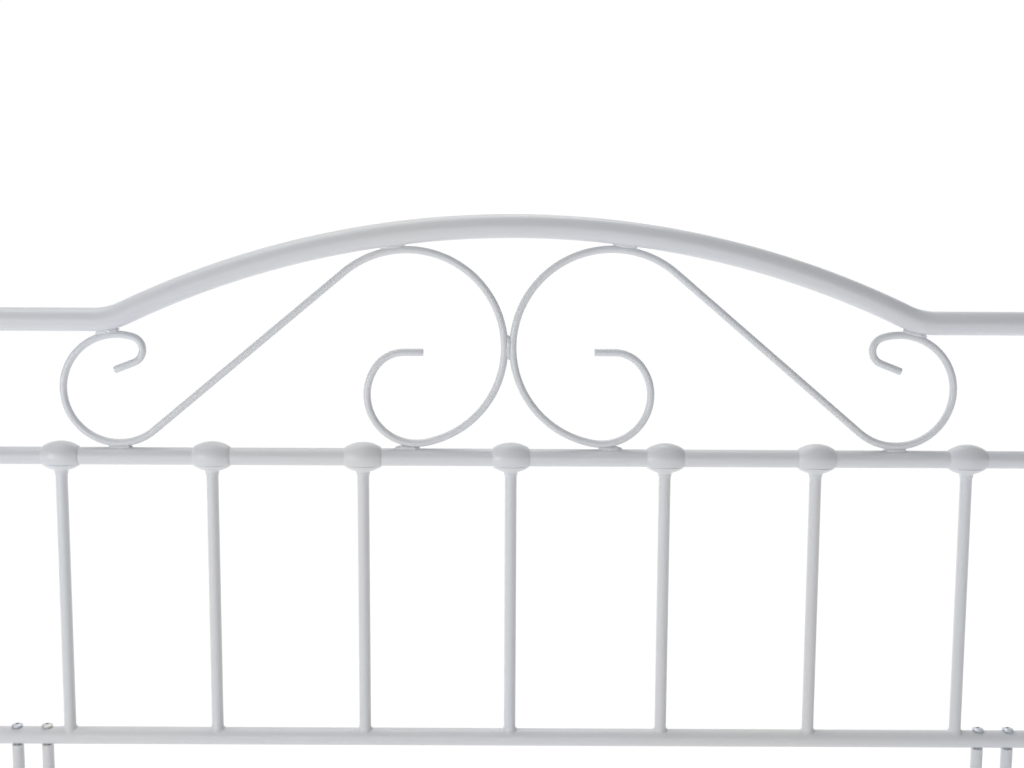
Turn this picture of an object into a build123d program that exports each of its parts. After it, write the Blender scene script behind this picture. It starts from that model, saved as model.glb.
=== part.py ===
from build123d import *

# A white tubular-steel daybed for a twin mattress, built from its separate pieces.
#
# Frame: millimetres, +Z up, floor at Z = 0, origin on the floor under the middle of the bed. X runs along the
# bed, the back panel stands at +Y and the open front is at -Y. Left is -X, as seen from the front.

import os
from math import asin, atan2, cos, degrees, hypot, radians, sin, sqrt

# ---- Driving dimensions ------------------------------------------------------------------------------------
BAYS = 12  # bays between spindles along the back, post to post
PITCH = 162.5  # from one spindle to the next
POST_DIAMETER = 38.0
POST_WALL = 1.5
ARM_DEPTH = 1000.0  # front post to rear post, centre to centre
TOP_TUBE = 25.4
TOP_WALL = 1.5
RAIL_TUBE = 19.0
RAIL_WALL = 1.2
SPINDLE_TUBE = 12.7
SPINDLE_WALL = 1.0
ROD = 8.0  # solid rod of the scrolls
WELD_GAP = 0.8  # gap that each scroll weld bridges
BEAD = 18.0  # length of a weld bead
BEAD_RADIUS = 3.36

# Heights of tube axes above the floor
BACK_LOW = 520.0
SPINDLE_RISE = 313.0  # lower rail to middle rail, on the back and on the arms
SHOULDER_RISE = 147.0  # back's middle rail to the straight ends of its top rail
ARM_LOW = 307.0
ARM_REAR_TOP = 930.0
ARM_FRONT_TOP = 760.0
POST_ABOVE_RAIL = 30.0  # post above the axis of the highest rail that meets it

# Arch of the back's top rail
ARCH_HALF = 430.0
ARCH_RISE = 101.0
ARCH_BEND = 76.0  # bend radius where the arch runs into the straight ends

# Arm's top rail: level, sloping, level
ARM_SLOPE_HALF = 170.0
ARM_BEND = 180.0
ARM_SPINDLES = 5

# Scrolls: two loops joined by their crossing tangent, each rolled inwards to a short straight tip
BACK_SCROLLS = {  # radius of the big loop, place of the end loop, radius of the end loop
    "left": (104.1, 417.5, 58.5),
    "right": (104.8, 416.0, 59.9),
}
SCROLL_SHIFT = -6.4  # the back's two scrolls stand this far from its middle
MIDDLE_SPINDLE_SHIFT = -3.5  # and so does its middle spindle
INNER_SHARE = 0.502  # second turn of the big loop, as a share of its radius
EYE_SHARE = 0.35  # third turn
CURL_SHARE = 0.248  # turn inside the end loop, as a share of its radius
INNER_FROM = -79.5  # angle on the big loop where the second turn begins
EYE_FROM = -217.0  # angle on the second turn where the third begins
CURL_FROM = 73.0  # angle on the end loop where its curl begins
CURL_TO = -68.5
EYE_TIP = 0.2  # straight tips, as shares of the big loop's radius and the end loop's
CURL_TIP = 0.39
ARM_BIG_Y = 250.0
ARM_END_Y = -410.0

# Cast knuckles over the spindle joints
KNUCKLE_LENGTH = 39.0
KNUCKLE_MID_RADIUS = 16.6
KNUCKLE_END_RADIUS = 10.6
SOCKET_TOP_RADIUS = 14.5
SOCKET_RIM = -9.0  # height at which the socket begins to curve in
SOCKET_CURVE = (11.6, -14.2)  # radius and height of a point half-way round the curve
SOCKET_BOWL = -17.2  # height at which it ends
NECK_ROOM = 1.0  # neck's wall under the bowl
NECK_TAPER = 0.6  # what it loses by its lower end
SOCKET_DEPTH = 21.0

# Paired tubes that stand under the back's lower rail
LEG_X = 529.5
LEG_SPREAD = 33.0
LEG_TUBE = 12.7
LEG_WALL = 1.0
LEG_TOP_GAP = 1.0  # between a leg tube and the rail above it
FOOT_Z = 15.0  # underside of the foot plates
FOOT_THICK = 4.0

# Mattress deck
DECK_Z = 300.0
ANGLE_HEIGHT = 45.0
ANGLE_DEPTH = 30.0
ANGLE_THICK = 3.0
DECK_FACE_Y = 493.5  # outer face of the angles' upright legs
DECK_HALF = 953.0
SLATS = 13
SLAT_PITCH = 145.0
SLAT_WIDTH = 30.0
SLAT_HEIGHT = 12.0
SLAT_WALL = 1.2
SLAT_CORNER = 4.0
SLAT_END_GAP = 1.0  # between a slat's end cap and the angle
CAP_FLANGE = 2.0
CAP_PLUG = 30.0  # how far an end cap reaches into its slat
SLAT_SCREW_Y = 474.0

CENTRE_RAIL_WIDTH = 20.0
CENTRE_RAIL_HEIGHT = 40.0
CENTRE_RAIL_WALL = 1.5
CENTRE_LEG_TUBE = 32.0
CENTRE_LEG_WALL = 1.5
DECK_BOLT_Y = 250.0

# Feet
PAD_RADIUS = 16.0
PAD_HEIGHT = 9.0
PAD_CHAMFER = 3.0
PAD_BORE_FLOOR = 2.8  # floor of the pad's bore
GLIDE_ROUND = 2.0  # round edge of a fixed glide's sole
STEM_LOW, STEM_HIGH = 3.0, 36.0
STEM_HEX_LOW, STEM_HEX_HEIGHT, STEM_HEX = 9.3, 5.0, 17.0
INSERT_HEIGHT = 24.0

# Turned balls on top of the posts
FINIAL_FLANGE = 4.0
FINIAL_NECK_RADIUS = 9.0
FINIAL_BALL_RADIUS = 18.5
FINIAL_BALL_RISE = 26.0  # ball's centre above the top of the post
FINIAL_PLUG = 18.0

# Fasteners
M8, M6, M5 = 8.0, 6.0, 5.0
THREAD_FIT = 0.05  # radial room between a thread and its plain hole
BOLT_FIT = 0.3  # radial room in a through hole
HEAD_ROUND = 0.7  # a screw head's round edge, as a share of its height
RECESS_FLOOR = 0.35  # metal left under the recess, as a share of the head's height
M8_HEAD, M8_HEAD_HEIGHT, M8_SOCKET = 14.0, 4.4, 5.0
M6_HEAD, M6_HEAD_HEIGHT, M6_SOCKET = 12.0, 3.6, 4.0
M5_HEAD, M5_HEAD_HEIGHT, M5_SOCKET = 9.5, 2.8, 3.0
DECK_BOLT_LENGTH = 45.0
ARM_BOLT_LENGTH = 60.0
LEG_SCREW_LENGTH = 32.0
DECK_SCREW_LENGTH = 12.0
SCREW_PILOT = 20.0  # length of the pilot hole, which is centred on the slat's underside
M8_NUT_FLATS, M8_NUT_HEIGHT = 13.0, 6.5
RAIL_INSERT_LENGTH = 28.0
LEG_INSERT_LENGTH = 14.0
TIE_HEIGHT, TIE_THICK = 24.0, 3.0

# ---- Derived places ----------------------------------------------------------------------------------------
POST_X = BAYS * PITCH / 2
POST_Y = ARM_DEPTH / 2
POST_RADIUS = POST_DIAMETER / 2
BACK_MID = BACK_LOW + SPINDLE_RISE
BACK_TOP = BACK_MID + SHOULDER_RISE
ARM_MID = ARM_LOW + SPINDLE_RISE
REAR_POST_TOP = BACK_TOP + POST_ABOVE_RAIL
FRONT_POST_TOP = ARM_FRONT_TOP + POST_ABOVE_RAIL
ARCH_RADIUS = (ARCH_HALF**2 + ARCH_RISE**2) / (2 * ARCH_RISE)
SIDES = {"left": -1, "right": 1}
BIG = 4000.0  # longer than anything in the bed


# ---- Shapes ------------------------------------------------------------------------------------------------
def bar(start, end, diameter, wall=0.0):
    """A straight tube from start to end, or a solid rod where wall is 0."""
    start, end = Vector(*start), Vector(*end)
    run = end - start
    ring = Circle(diameter / 2)
    if wall:
        ring -= Circle(diameter / 2 - wall)
    return extrude(Plane(origin=start, z_dir=run) * ring, amount=run.length)


def swept(path, diameter, wall=0.0):
    """A tube or rod that follows a path."""
    ring = Circle(diameter / 2)
    if wall:
        ring -= Circle(diameter / 2 - wall)
    return sweep(Plane(origin=path @ 0, z_dir=path % 0) * ring, path=path)


def arc_end(centre, radius, angle):
    return (centre[0] + radius * cos(radians(angle)), centre[1] + radius * sin(radians(angle)))


def hexagon(across_flats, height):
    return extrude(RegularPolygon(across_flats / 2, 6, major_radius=False), amount=height)


def group(pieces):
    """Several solids in one node."""
    solids = [s for piece in pieces for s in piece.solids()]
    return Compound(children=solids)


def button_screw(diameter, length, head_diameter, head_height, socket):
    """A button-head screw that points down -Z, its head's underside at Z = 0."""
    head = Pos(0, 0, head_height / 2) * Cylinder(head_diameter / 2, head_height)
    head = fillet(head.edges().group_by(Axis.Z)[-1], head_height * HEAD_ROUND)
    shank = Pos(0, 0, -length / 2) * Cylinder(diameter / 2, length)
    recess = Pos(0, 0, head_height * RECESS_FLOOR) * hexagon(socket, head_height)
    return head + shank - recess


def nut(diameter, across_flats, height):
    """A hexagon nut that stands on Z = 0."""
    return hexagon(across_flats, height) - Cylinder(diameter / 2 + THREAD_FIT, 3 * height)


# ---- Scrolls -----------------------------------------------------------------------------------------------
def scroll_path(big, big_radius, end, end_radius):
    """Planar path of a scroll in X and Y: tip, curl, end loop, tangent, big loop, second turn, eye, tip."""
    span = hypot(big[0] - end[0], big[1] - end[1])
    slope = degrees(atan2(big[1] - end[1], big[0] - end[0]) + asin((big_radius + end_radius) / span))
    inner_radius, eye_radius = INNER_SHARE * big_radius, EYE_SHARE * big_radius
    curl_radius = CURL_SHARE * end_radius
    inner = arc_end(big, big_radius - inner_radius, INNER_FROM)
    eye = arc_end(inner, inner_radius - eye_radius, EYE_FROM)
    curl = arc_end(end, end_radius - curl_radius, CURL_FROM)
    curl_end = arc_end(curl, curl_radius, CURL_TO)
    eye_end = arc_end(eye, eye_radius, -270)
    return Wire(
        [
            Line(arc_end(curl_end, CURL_TIP * end_radius, CURL_TO - 90), curl_end),
            CenterArc(curl, curl_radius, CURL_TO, CURL_FROM - CURL_TO),
            CenterArc(end, end_radius, CURL_FROM, slope + 270 - CURL_FROM),
            Line(arc_end(end, end_radius, slope - 90), arc_end(big, big_radius, slope + 90)),
            CenterArc(big, big_radius, slope + 90, INNER_FROM - slope - 90),
            CenterArc(inner, inner_radius, INNER_FROM, EYE_FROM - INNER_FROM),
            CenterArc(eye, eye_radius, EYE_FROM, -270 - EYE_FROM),
            Line(eye_end, (eye_end[0] + EYE_TIP * big_radius, eye_end[1])),
        ]
    )


def loop_height(radius):
    """Height of a loop's centre over the axis of the rail that it is welded to."""
    return (RAIL_TUBE + ROD) / 2 + WELD_GAP + radius


def weld(place, length, *pieces, turn=0.0):
    """A weld bead along X at a place, trimmed to the pieces that it joins."""
    bead = Pos(*place) * Rot(0, turn, 0) * Rot(0, 90, 0) * Cylinder(BEAD_RADIUS, length)
    for piece in pieces:
        bead -= piece
    return bead


# ---- Knuckles ----------------------------------------------------------------------------------------------
def knuckle():
    """A cast barrel around a rail along X, with a socket below it for the spindle."""
    half = KNUCKLE_LENGTH / 2
    outline = make_face(
        [
            Line((-half, 0), (-half, KNUCKLE_END_RADIUS)),
            ThreePointArc((-half, KNUCKLE_END_RADIUS), (0, KNUCKLE_MID_RADIUS), (half, KNUCKLE_END_RADIUS)),
            Line((half, KNUCKLE_END_RADIUS), (half, 0)),
            Line((half, 0), (-half, 0)),
        ]
    )
    barrel = revolve(Plane.XZ * outline, axis=Axis.X)
    neck = SPINDLE_TUBE / 2 + NECK_ROOM
    lip = neck - NECK_TAPER
    socket = make_face(
        [
            Line((0, 0), (SOCKET_TOP_RADIUS, 0)),
            Line((SOCKET_TOP_RADIUS, 0), (SOCKET_TOP_RADIUS, SOCKET_RIM)),
            ThreePointArc((SOCKET_TOP_RADIUS, SOCKET_RIM), SOCKET_CURVE, (neck, SOCKET_BOWL)),
            Line((neck, SOCKET_BOWL), (lip, -SOCKET_DEPTH)),
            Line((lip, -SOCKET_DEPTH), (0, -SOCKET_DEPTH)),
            Line((0, -SOCKET_DEPTH), (0, 0)),
        ]
    )
    casting = barrel + revolve(Plane.XZ * socket, axis=Axis.Z)
    casting -= Rot(0, 90, 0) * Cylinder(RAIL_TUBE / 2, 2 * KNUCKLE_LENGTH)
    return casting - Pos(0, 0, -SOCKET_DEPTH) * Cylinder(SPINDLE_TUBE / 2, 2 * SOCKET_DEPTH)


def spindles(places, low):
    """Spindles along X, coped to the rails above and below them."""
    rails = [bar((-BIG / 2, 0, z), (BIG / 2, 0, z), RAIL_TUBE) for z in (low, low + SPINDLE_RISE)]
    one = bar((0, 0, low), (0, 0, low + SPINDLE_RISE), SPINDLE_TUBE, SPINDLE_WALL)
    for rail in rails:
        one -= rail
    return [Pos(x, 0, 0) * one for x in places]


# ---- Placing -----------------------------------------------------------------------------------------------
def mirrored(shape):
    return mirror(shape, about=Plane.YZ)


def on_arm(side, shape):
    """Moves a shape that is drawn in the XZ plane, +X to the rear, into one arm's plane."""
    return Pos(side * POST_X, 0, 0) * Rot(0, 0, 90) * shape


def drilled(shape, holes):
    for hole in holes:
        shape -= hole
    return shape


def hole_along_y(x, z, radius, length, y=0.0):
    return Pos(x, y, z) * Rot(90, 0, 0) * Cylinder(radius, length)


# ---- Back panel --------------------------------------------------------------------------------------------
def arch_path():
    """The back's top rail in X and Y: straight, bend, arch, bend, straight."""
    reach = ARCH_RADIUS + ARCH_BEND
    foot = sqrt(ARCH_RISE * (2 * reach - ARCH_RISE))
    bend_turn = degrees(asin(foot / reach))
    centre = (0, ARCH_RISE - ARCH_RADIUS)
    return Wire(
        [
            Line((-POST_X, 0), (-foot, 0)),
            CenterArc((-foot, ARCH_BEND), ARCH_BEND, -90, bend_turn),
            CenterArc(centre, ARCH_RADIUS, 90 + bend_turn, -2 * bend_turn),
            CenterArc((foot, ARCH_BEND), ARCH_BEND, -90 - bend_turn, bend_turn),
            Line((foot, 0), (POST_X, 0)),
        ]
    )


def leg_places():
    """X of each of the four leg tubes."""
    return [s * LEG_X + t * LEG_SPREAD / 2 for s in (-1, 1) for t in (-1, 1)]


def spindle_places(bays, pitch):
    return [pitch * (i - bays / 2) for i in range(1, bays)]


def back_panel():
    """The back's pieces in the plane Y = 0."""
    posts = [Pos(s * POST_X, 0, 0) * Cylinder(POST_RADIUS, BIG) for s in (-1, 1)]
    top = Pos(0, 0, BACK_TOP) * swept(Plane.XZ * arch_path(), TOP_TUBE, TOP_WALL)
    middle = bar((-POST_X, 0, BACK_MID), (POST_X, 0, BACK_MID), RAIL_TUBE, RAIL_WALL)
    lower = bar((-POST_X, 0, BACK_LOW), (POST_X, 0, BACK_LOW), RAIL_TUBE, RAIL_WALL)
    screw_holes = [Pos(x, 0, BACK_LOW) * Cylinder(M6 / 2 + BOLT_FIT, 2 * RAIL_TUBE) for x in leg_places()]
    pieces = {
        "back_top_rail": drilled(top, posts),
        "back_middle_rail": drilled(middle, posts),
        "back_lower_rail": drilled(lower, posts + screw_holes),
    }
    places = spindle_places(BAYS, PITCH)
    places[BAYS // 2 - 1] += MIDDLE_SPINDLE_SHIFT
    for number, spindle in enumerate(spindles(places, BACK_LOW), 1):
        pieces[f"back_spindle_{number:02d}"] = spindle
    knuckles = [Pos(x, 0, BACK_MID) * knuckle() for x in places]

    left, left_beads = back_scroll("left")
    right, right_beads = back_scroll("right")
    right = mirrored(right)
    pieces["back_scroll_left"], pieces["back_scroll_right"] = left, right
    kiss_height = BACK_MID + loop_height(BACK_SCROLLS["left"][0])
    kiss = weld((SCROLL_SHIFT, 0, kiss_height), BEAD, left, right, turn=90)
    return pieces, knuckles, left_beads + [mirrored(bead) for bead in right_beads] + [kiss]


def back_scroll(side_name):
    """One scroll of the back, drawn as on the left, and the beads that hold it to the rails."""
    big_radius, end_place, end_radius = BACK_SCROLLS[side_name]
    middle_x = -SIDES[side_name] * SCROLL_SHIFT
    big = (middle_x - big_radius - (ROD + WELD_GAP) / 2, loop_height(big_radius))
    end = (middle_x - end_place, loop_height(end_radius))
    rod = Pos(0, 0, BACK_MID) * swept(Plane.XZ * scroll_path(big, big_radius, end, end_radius), ROD)

    middle = bar((-POST_X, 0, BACK_MID), (POST_X, 0, BACK_MID), RAIL_TUBE)
    top = Pos(0, 0, BACK_TOP) * swept(Plane.XZ * arch_path(), TOP_TUBE)
    crevice = BACK_MID + (RAIL_TUBE + WELD_GAP) / 2
    beads = [weld((x, 0, crevice), BEAD, rod, middle) for x in (big[0], end[0])]
    arch_centre = (0, SHOULDER_RISE + ARCH_RISE - ARCH_RADIUS)
    lean = degrees(atan2(-big[0], big[1] - arch_centre[1]))
    under = arc_end(arch_centre, ARCH_RADIUS - (TOP_TUBE + WELD_GAP) / 2, 90 + lean)
    beads.append(weld((under[0], 0, BACK_MID + under[1]), BEAD, rod, top, turn=-lean))
    bend_centre = (-sqrt(ARCH_RISE * (2 * (ARCH_RADIUS + ARCH_BEND) - ARCH_RISE)), SHOULDER_RISE + ARCH_BEND)
    aim = degrees(atan2(bend_centre[1] - end[1], bend_centre[0] - end[0]))
    near = arc_end(end, end_radius + (ROD + WELD_GAP) / 2, aim)
    beads.append(weld((near[0], 0, BACK_MID + near[1]), BEAD, rod, top, turn=90 - aim))
    return rod, beads


# ---- Arms --------------------------------------------------------------------------------------------------
def arm_top_path():
    """The arm's top rail in X and Y, +X to the rear: level, bend, slope, bend, level."""
    rise = ARM_REAR_TOP - ARM_FRONT_TOP
    run = 2 * ARM_SLOPE_HALF
    turn = degrees(atan2(rise, run))
    tangent = ARM_BEND * sin(radians(turn)) / (1 + cos(radians(turn)))
    low = (-ARM_SLOPE_HALF - tangent, 0)
    high = (ARM_SLOPE_HALF + tangent, rise)
    low_centre = (low[0], ARM_BEND)
    high_centre = (high[0], rise - ARM_BEND)
    return Wire(
        [
            Line((-POST_Y, 0), low),
            CenterArc(low_centre, ARM_BEND, -90, turn),
            Line(arc_end(low_centre, ARM_BEND, turn - 90), arc_end(high_centre, ARM_BEND, turn + 90)),
            CenterArc(high_centre, ARM_BEND, turn + 90, -turn),
            Line(high, (POST_Y, rise)),
        ]
    )


def arm():
    """One arm's pieces in the XZ plane, +X to the rear."""
    posts = [Pos(s * POST_Y, 0, 0) * Cylinder(POST_RADIUS, BIG) for s in (-1, 1)]
    top = Pos(0, 0, ARM_FRONT_TOP) * swept(Plane.XZ * arm_top_path(), TOP_TUBE, TOP_WALL)
    middle = bar((-POST_Y, 0, ARM_MID), (POST_Y, 0, ARM_MID), RAIL_TUBE, RAIL_WALL)
    lower = bar((-POST_Y, 0, ARM_LOW), (POST_Y, 0, ARM_LOW), RAIL_TUBE, RAIL_WALL)
    bolt_holes = [hole_along_y(s * DECK_BOLT_Y, ARM_LOW, M8 / 2 + BOLT_FIT, 2 * RAIL_TUBE) for s in (-1, 1)]
    rails = {
        "top_rail": drilled(top, posts),
        "middle_rail": drilled(middle, posts),
        "lower_rail": drilled(lower, posts + bolt_holes),
    }
    inserts = []
    for z in (ARM_LOW, ARM_MID):
        for s in (-1, 1):
            start = s * (POST_Y - POST_RADIUS - RAIL_INSERT_LENGTH)
            plug = bar((start, 0, z), (s * POST_Y, 0, z), RAIL_TUBE - 2 * RAIL_WALL)
            plug -= bar((0, 0, z), (s * POST_Y, 0, z), M8 + 2 * THREAD_FIT)
            inserts.append(drilled(plug, posts))

    places = spindle_places(ARM_SPINDLES + 1, ARM_DEPTH / (ARM_SPINDLES + 1))
    room = ARM_REAR_TOP - ARM_MID - (TOP_TUBE + RAIL_TUBE) / 2 - 2 * (ROD + WELD_GAP)
    big_radius = room / 2
    end_radius = big_radius - (ARM_REAR_TOP - ARM_FRONT_TOP) / 2
    big = (ARM_BIG_Y, loop_height(big_radius))
    end = (ARM_END_Y, loop_height(end_radius))
    scroll = Pos(0, 0, ARM_MID) * swept(Plane.XZ * scroll_path(big, big_radius, end, end_radius), ROD)
    solid_middle = bar((-POST_Y, 0, ARM_MID), (POST_Y, 0, ARM_MID), RAIL_TUBE)
    solid_top = Pos(0, 0, ARM_FRONT_TOP) * swept(Plane.XZ * arm_top_path(), TOP_TUBE)
    low = ARM_MID + (RAIL_TUBE + WELD_GAP) / 2
    beads = []
    for x, height in ((ARM_BIG_Y, ARM_REAR_TOP), (ARM_END_Y, ARM_FRONT_TOP)):
        beads.append(weld((x, 0, low), BEAD, scroll, solid_middle))
        beads.append(weld((x, 0, height - (TOP_TUBE + WELD_GAP) / 2), BEAD, scroll, solid_top))
    knuckles = [Pos(x, 0, ARM_MID) * knuckle() for x in places]
    return rails, inserts, spindles(places, ARM_LOW), scroll, beads, knuckles


# ---- Posts and feet ----------------------------------------------------------------------------------------
def post_places():
    """Name, X, Y and height of each post's top."""
    for side_name, side in SIDES.items():
        yield f"front_{side_name}", side * POST_X, -POST_Y, FRONT_POST_TOP
        yield f"rear_{side_name}", side * POST_X, POST_Y, REAR_POST_TOP


def post(x, y, top):
    tube = bar((x, y, FOOT_Z), (x, y, top), POST_DIAMETER, POST_WALL)
    holes = [hole_along_y(x, z, M8 / 2 + BOLT_FIT, 2 * POST_DIAMETER, y) for z in (ARM_LOW, ARM_MID)]
    return drilled(tube, holes)


def finial():
    """A turned ball with a plug, on a post whose top is at Z = 0."""
    bore = POST_RADIUS - POST_WALL
    profile = Polyline(
        (0, -FINIAL_PLUG),
        (bore, -FINIAL_PLUG),
        (bore, 0),
        (POST_RADIUS, 0),
        (POST_RADIUS, FINIAL_FLANGE),
        (FINIAL_NECK_RADIUS, 2 * FINIAL_FLANGE),
        (FINIAL_NECK_RADIUS, FINIAL_BALL_RISE),
        (0, FINIAL_BALL_RISE),
        close=True,
    )
    turned = revolve(Plane.XZ * make_face(profile), axis=Axis.Z)
    return turned + Pos(0, 0, FINIAL_BALL_RISE) * Sphere(FINIAL_BALL_RADIUS)


def foot_insert(radius):
    """The plug in a tube's lower end that a foot's stem screws into."""
    plug = Pos(0, 0, FOOT_Z + INSERT_HEIGHT / 2) * Cylinder(radius, INSERT_HEIGHT)
    return plug - Cylinder(M8 / 2 + THREAD_FIT, BIG)


def foot_pad():
    pad = Pos(0, 0, PAD_HEIGHT / 2) * Cylinder(PAD_RADIUS, PAD_HEIGHT)
    pad = chamfer(pad.edges().group_by(Axis.Z)[-1], PAD_CHAMFER)
    bore = Pos(0, 0, PAD_BORE_FLOOR + PAD_HEIGHT / 2) * Cylinder(M8 / 2 + THREAD_FIT, PAD_HEIGHT)
    return pad - bore


def foot_stem():
    stem = Pos(0, 0, (STEM_LOW + STEM_HIGH) / 2) * Cylinder(M8 / 2, STEM_HIGH - STEM_LOW)
    return stem + Pos(0, 0, STEM_HEX_LOW) * hexagon(STEM_HEX, STEM_HEX_HEIGHT)


# ---- Legs under the back -----------------------------------------------------------------------------------
def tie_face():
    """Y of the rear face of the ties, which lie against the deck's rear angle."""
    return DECK_FACE_Y + TIE_THICK


def support_leg(side):
    """Two tubes on one foot plate, with a threaded plug in the top of each and a tie across them."""
    top = BACK_LOW - RAIL_TUBE / 2 - LEG_TOP_GAP
    bottom = FOOT_Z + FOOT_THICK
    pieces = []
    for t in (-1, 1):
        x = side * LEG_X + t * LEG_SPREAD / 2
        pieces.append(bar((x, POST_Y, bottom), (x, POST_Y, top), LEG_TUBE, LEG_WALL))
        plug = bar((x, POST_Y, top - LEG_INSERT_LENGTH), (x, POST_Y, top), LEG_TUBE - 2 * LEG_WALL)
        pieces.append(plug - Pos(x, POST_Y, top) * Cylinder(M6 / 2 + THREAD_FIT, BIG / 2))
    plate = Pos(side * LEG_X, POST_Y, FOOT_Z + FOOT_THICK / 2) * Box(
        LEG_SPREAD + LEG_TUBE + 2 * FOOT_THICK, 2 * LEG_TUBE, FOOT_THICK
    )
    plate = fillet(plate.edges().filter_by(Axis.Z), LEG_TUBE / 2)
    pieces.append(plate - Pos(side * LEG_X, POST_Y, FOOT_Z) * Cylinder(M8 / 2, BIG / 2))
    tie = Pos(side * LEG_X, tie_face() - TIE_THICK / 2, ARM_LOW) * Box(LEG_SPREAD, TIE_THICK, TIE_HEIGHT)
    for t in (-1, 1):
        tie -= Pos(side * LEG_X + t * LEG_SPREAD / 2, POST_Y, 0) * Cylinder(LEG_TUBE / 2, BIG)
    pieces.append(tie - hole_along_y(side * LEG_X, ARM_LOW, M5 / 2 + THREAD_FIT, LEG_SPREAD, POST_Y))
    return group(pieces)


def glide(peg_radius, peg_height):
    """A plastic foot with a peg that fills the hole above it."""
    foot = Pos(0, 0, FOOT_Z / 2) * Cylinder(PAD_RADIUS, FOOT_Z)
    foot = fillet(foot.edges().group_by(Axis.Z)[0], GLIDE_ROUND)
    return foot + Pos(0, 0, FOOT_Z + peg_height / 2) * Cylinder(peg_radius, peg_height)


# ---- Mattress deck -----------------------------------------------------------------------------------------
def shelf_top():
    return DECK_Z - SLAT_HEIGHT


def deck_frame():
    """Four angles with mitred corners: an upright leg outside and a shelf for the slats inside."""
    bottom = shelf_top() - ANGLE_THICK

    def ring(inset, height):
        outer = Box(2 * DECK_HALF, 2 * DECK_FACE_Y, height)
        inner = Box(2 * (DECK_HALF - inset), 2 * (DECK_FACE_Y - inset), 2 * height)
        return Pos(0, 0, bottom + height / 2) * (outer - inner)

    frame = ring(ANGLE_THICK, ANGLE_HEIGHT) + ring(ANGLE_DEPTH, ANGLE_THICK)
    reach = DECK_FACE_Y + 2 * ANGLE_DEPTH
    wedge = Polyline(
        (DECK_HALF - DECK_FACE_Y, 0),
        (DECK_HALF - DECK_FACE_Y + reach, reach),
        (DECK_HALF - DECK_FACE_Y + reach, -reach),
        close=True,
    )
    right_wedge = extrude(make_face(wedge), amount=BIG / 2)
    right = frame & right_wedge
    left = mirrored(right)
    rest = frame - right_wedge - mirrored(right_wedge)
    front, rear = rest.solids().sort_by(Axis.Y)
    return {
        "deck_front_angle": front,
        "deck_rear_angle": rear,
        "deck_left_angle": left,
        "deck_right_angle": right,
    }


def slat_box(width, height, length, corner):
    """A bar along Y with rounded corners, centred on the origin."""
    return extrude(Plane.XZ * RectangleRounded(width, height, corner), amount=length / 2, both=True)


def slat():
    """One slat along Y at X = 0, and its two end caps."""
    cap_end = DECK_FACE_Y - ANGLE_THICK - SLAT_END_GAP
    slat_end = cap_end - CAP_FLANGE
    inside = (SLAT_WIDTH - 2 * SLAT_WALL, SLAT_HEIGHT - 2 * SLAT_WALL)
    tube = slat_box(SLAT_WIDTH, SLAT_HEIGHT, 2 * slat_end, SLAT_CORNER)
    tube -= slat_box(*inside, BIG / 2, SLAT_CORNER - SLAT_WALL)
    plug = slat_box(*inside, CAP_PLUG, SLAT_CORNER - SLAT_WALL)
    flange = slat_box(SLAT_WIDTH, SLAT_HEIGHT, CAP_FLANGE, SLAT_CORNER)
    cap = Pos(0, slat_end - CAP_PLUG / 2, 0) * plug + Pos(0, cap_end - CAP_FLANGE / 2, 0) * flange
    pilot = Pos(0, 0, -SLAT_HEIGHT / 2) * Cylinder(M5 / 2 + THREAD_FIT, SCREW_PILOT)
    holes = [Pos(0, s * SLAT_SCREW_Y, 0) * pilot for s in (-1, 1)]
    caps = [drilled(cap, holes), drilled(mirror(cap, about=Plane.XZ), holes)]
    return drilled(tube, holes), caps


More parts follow.
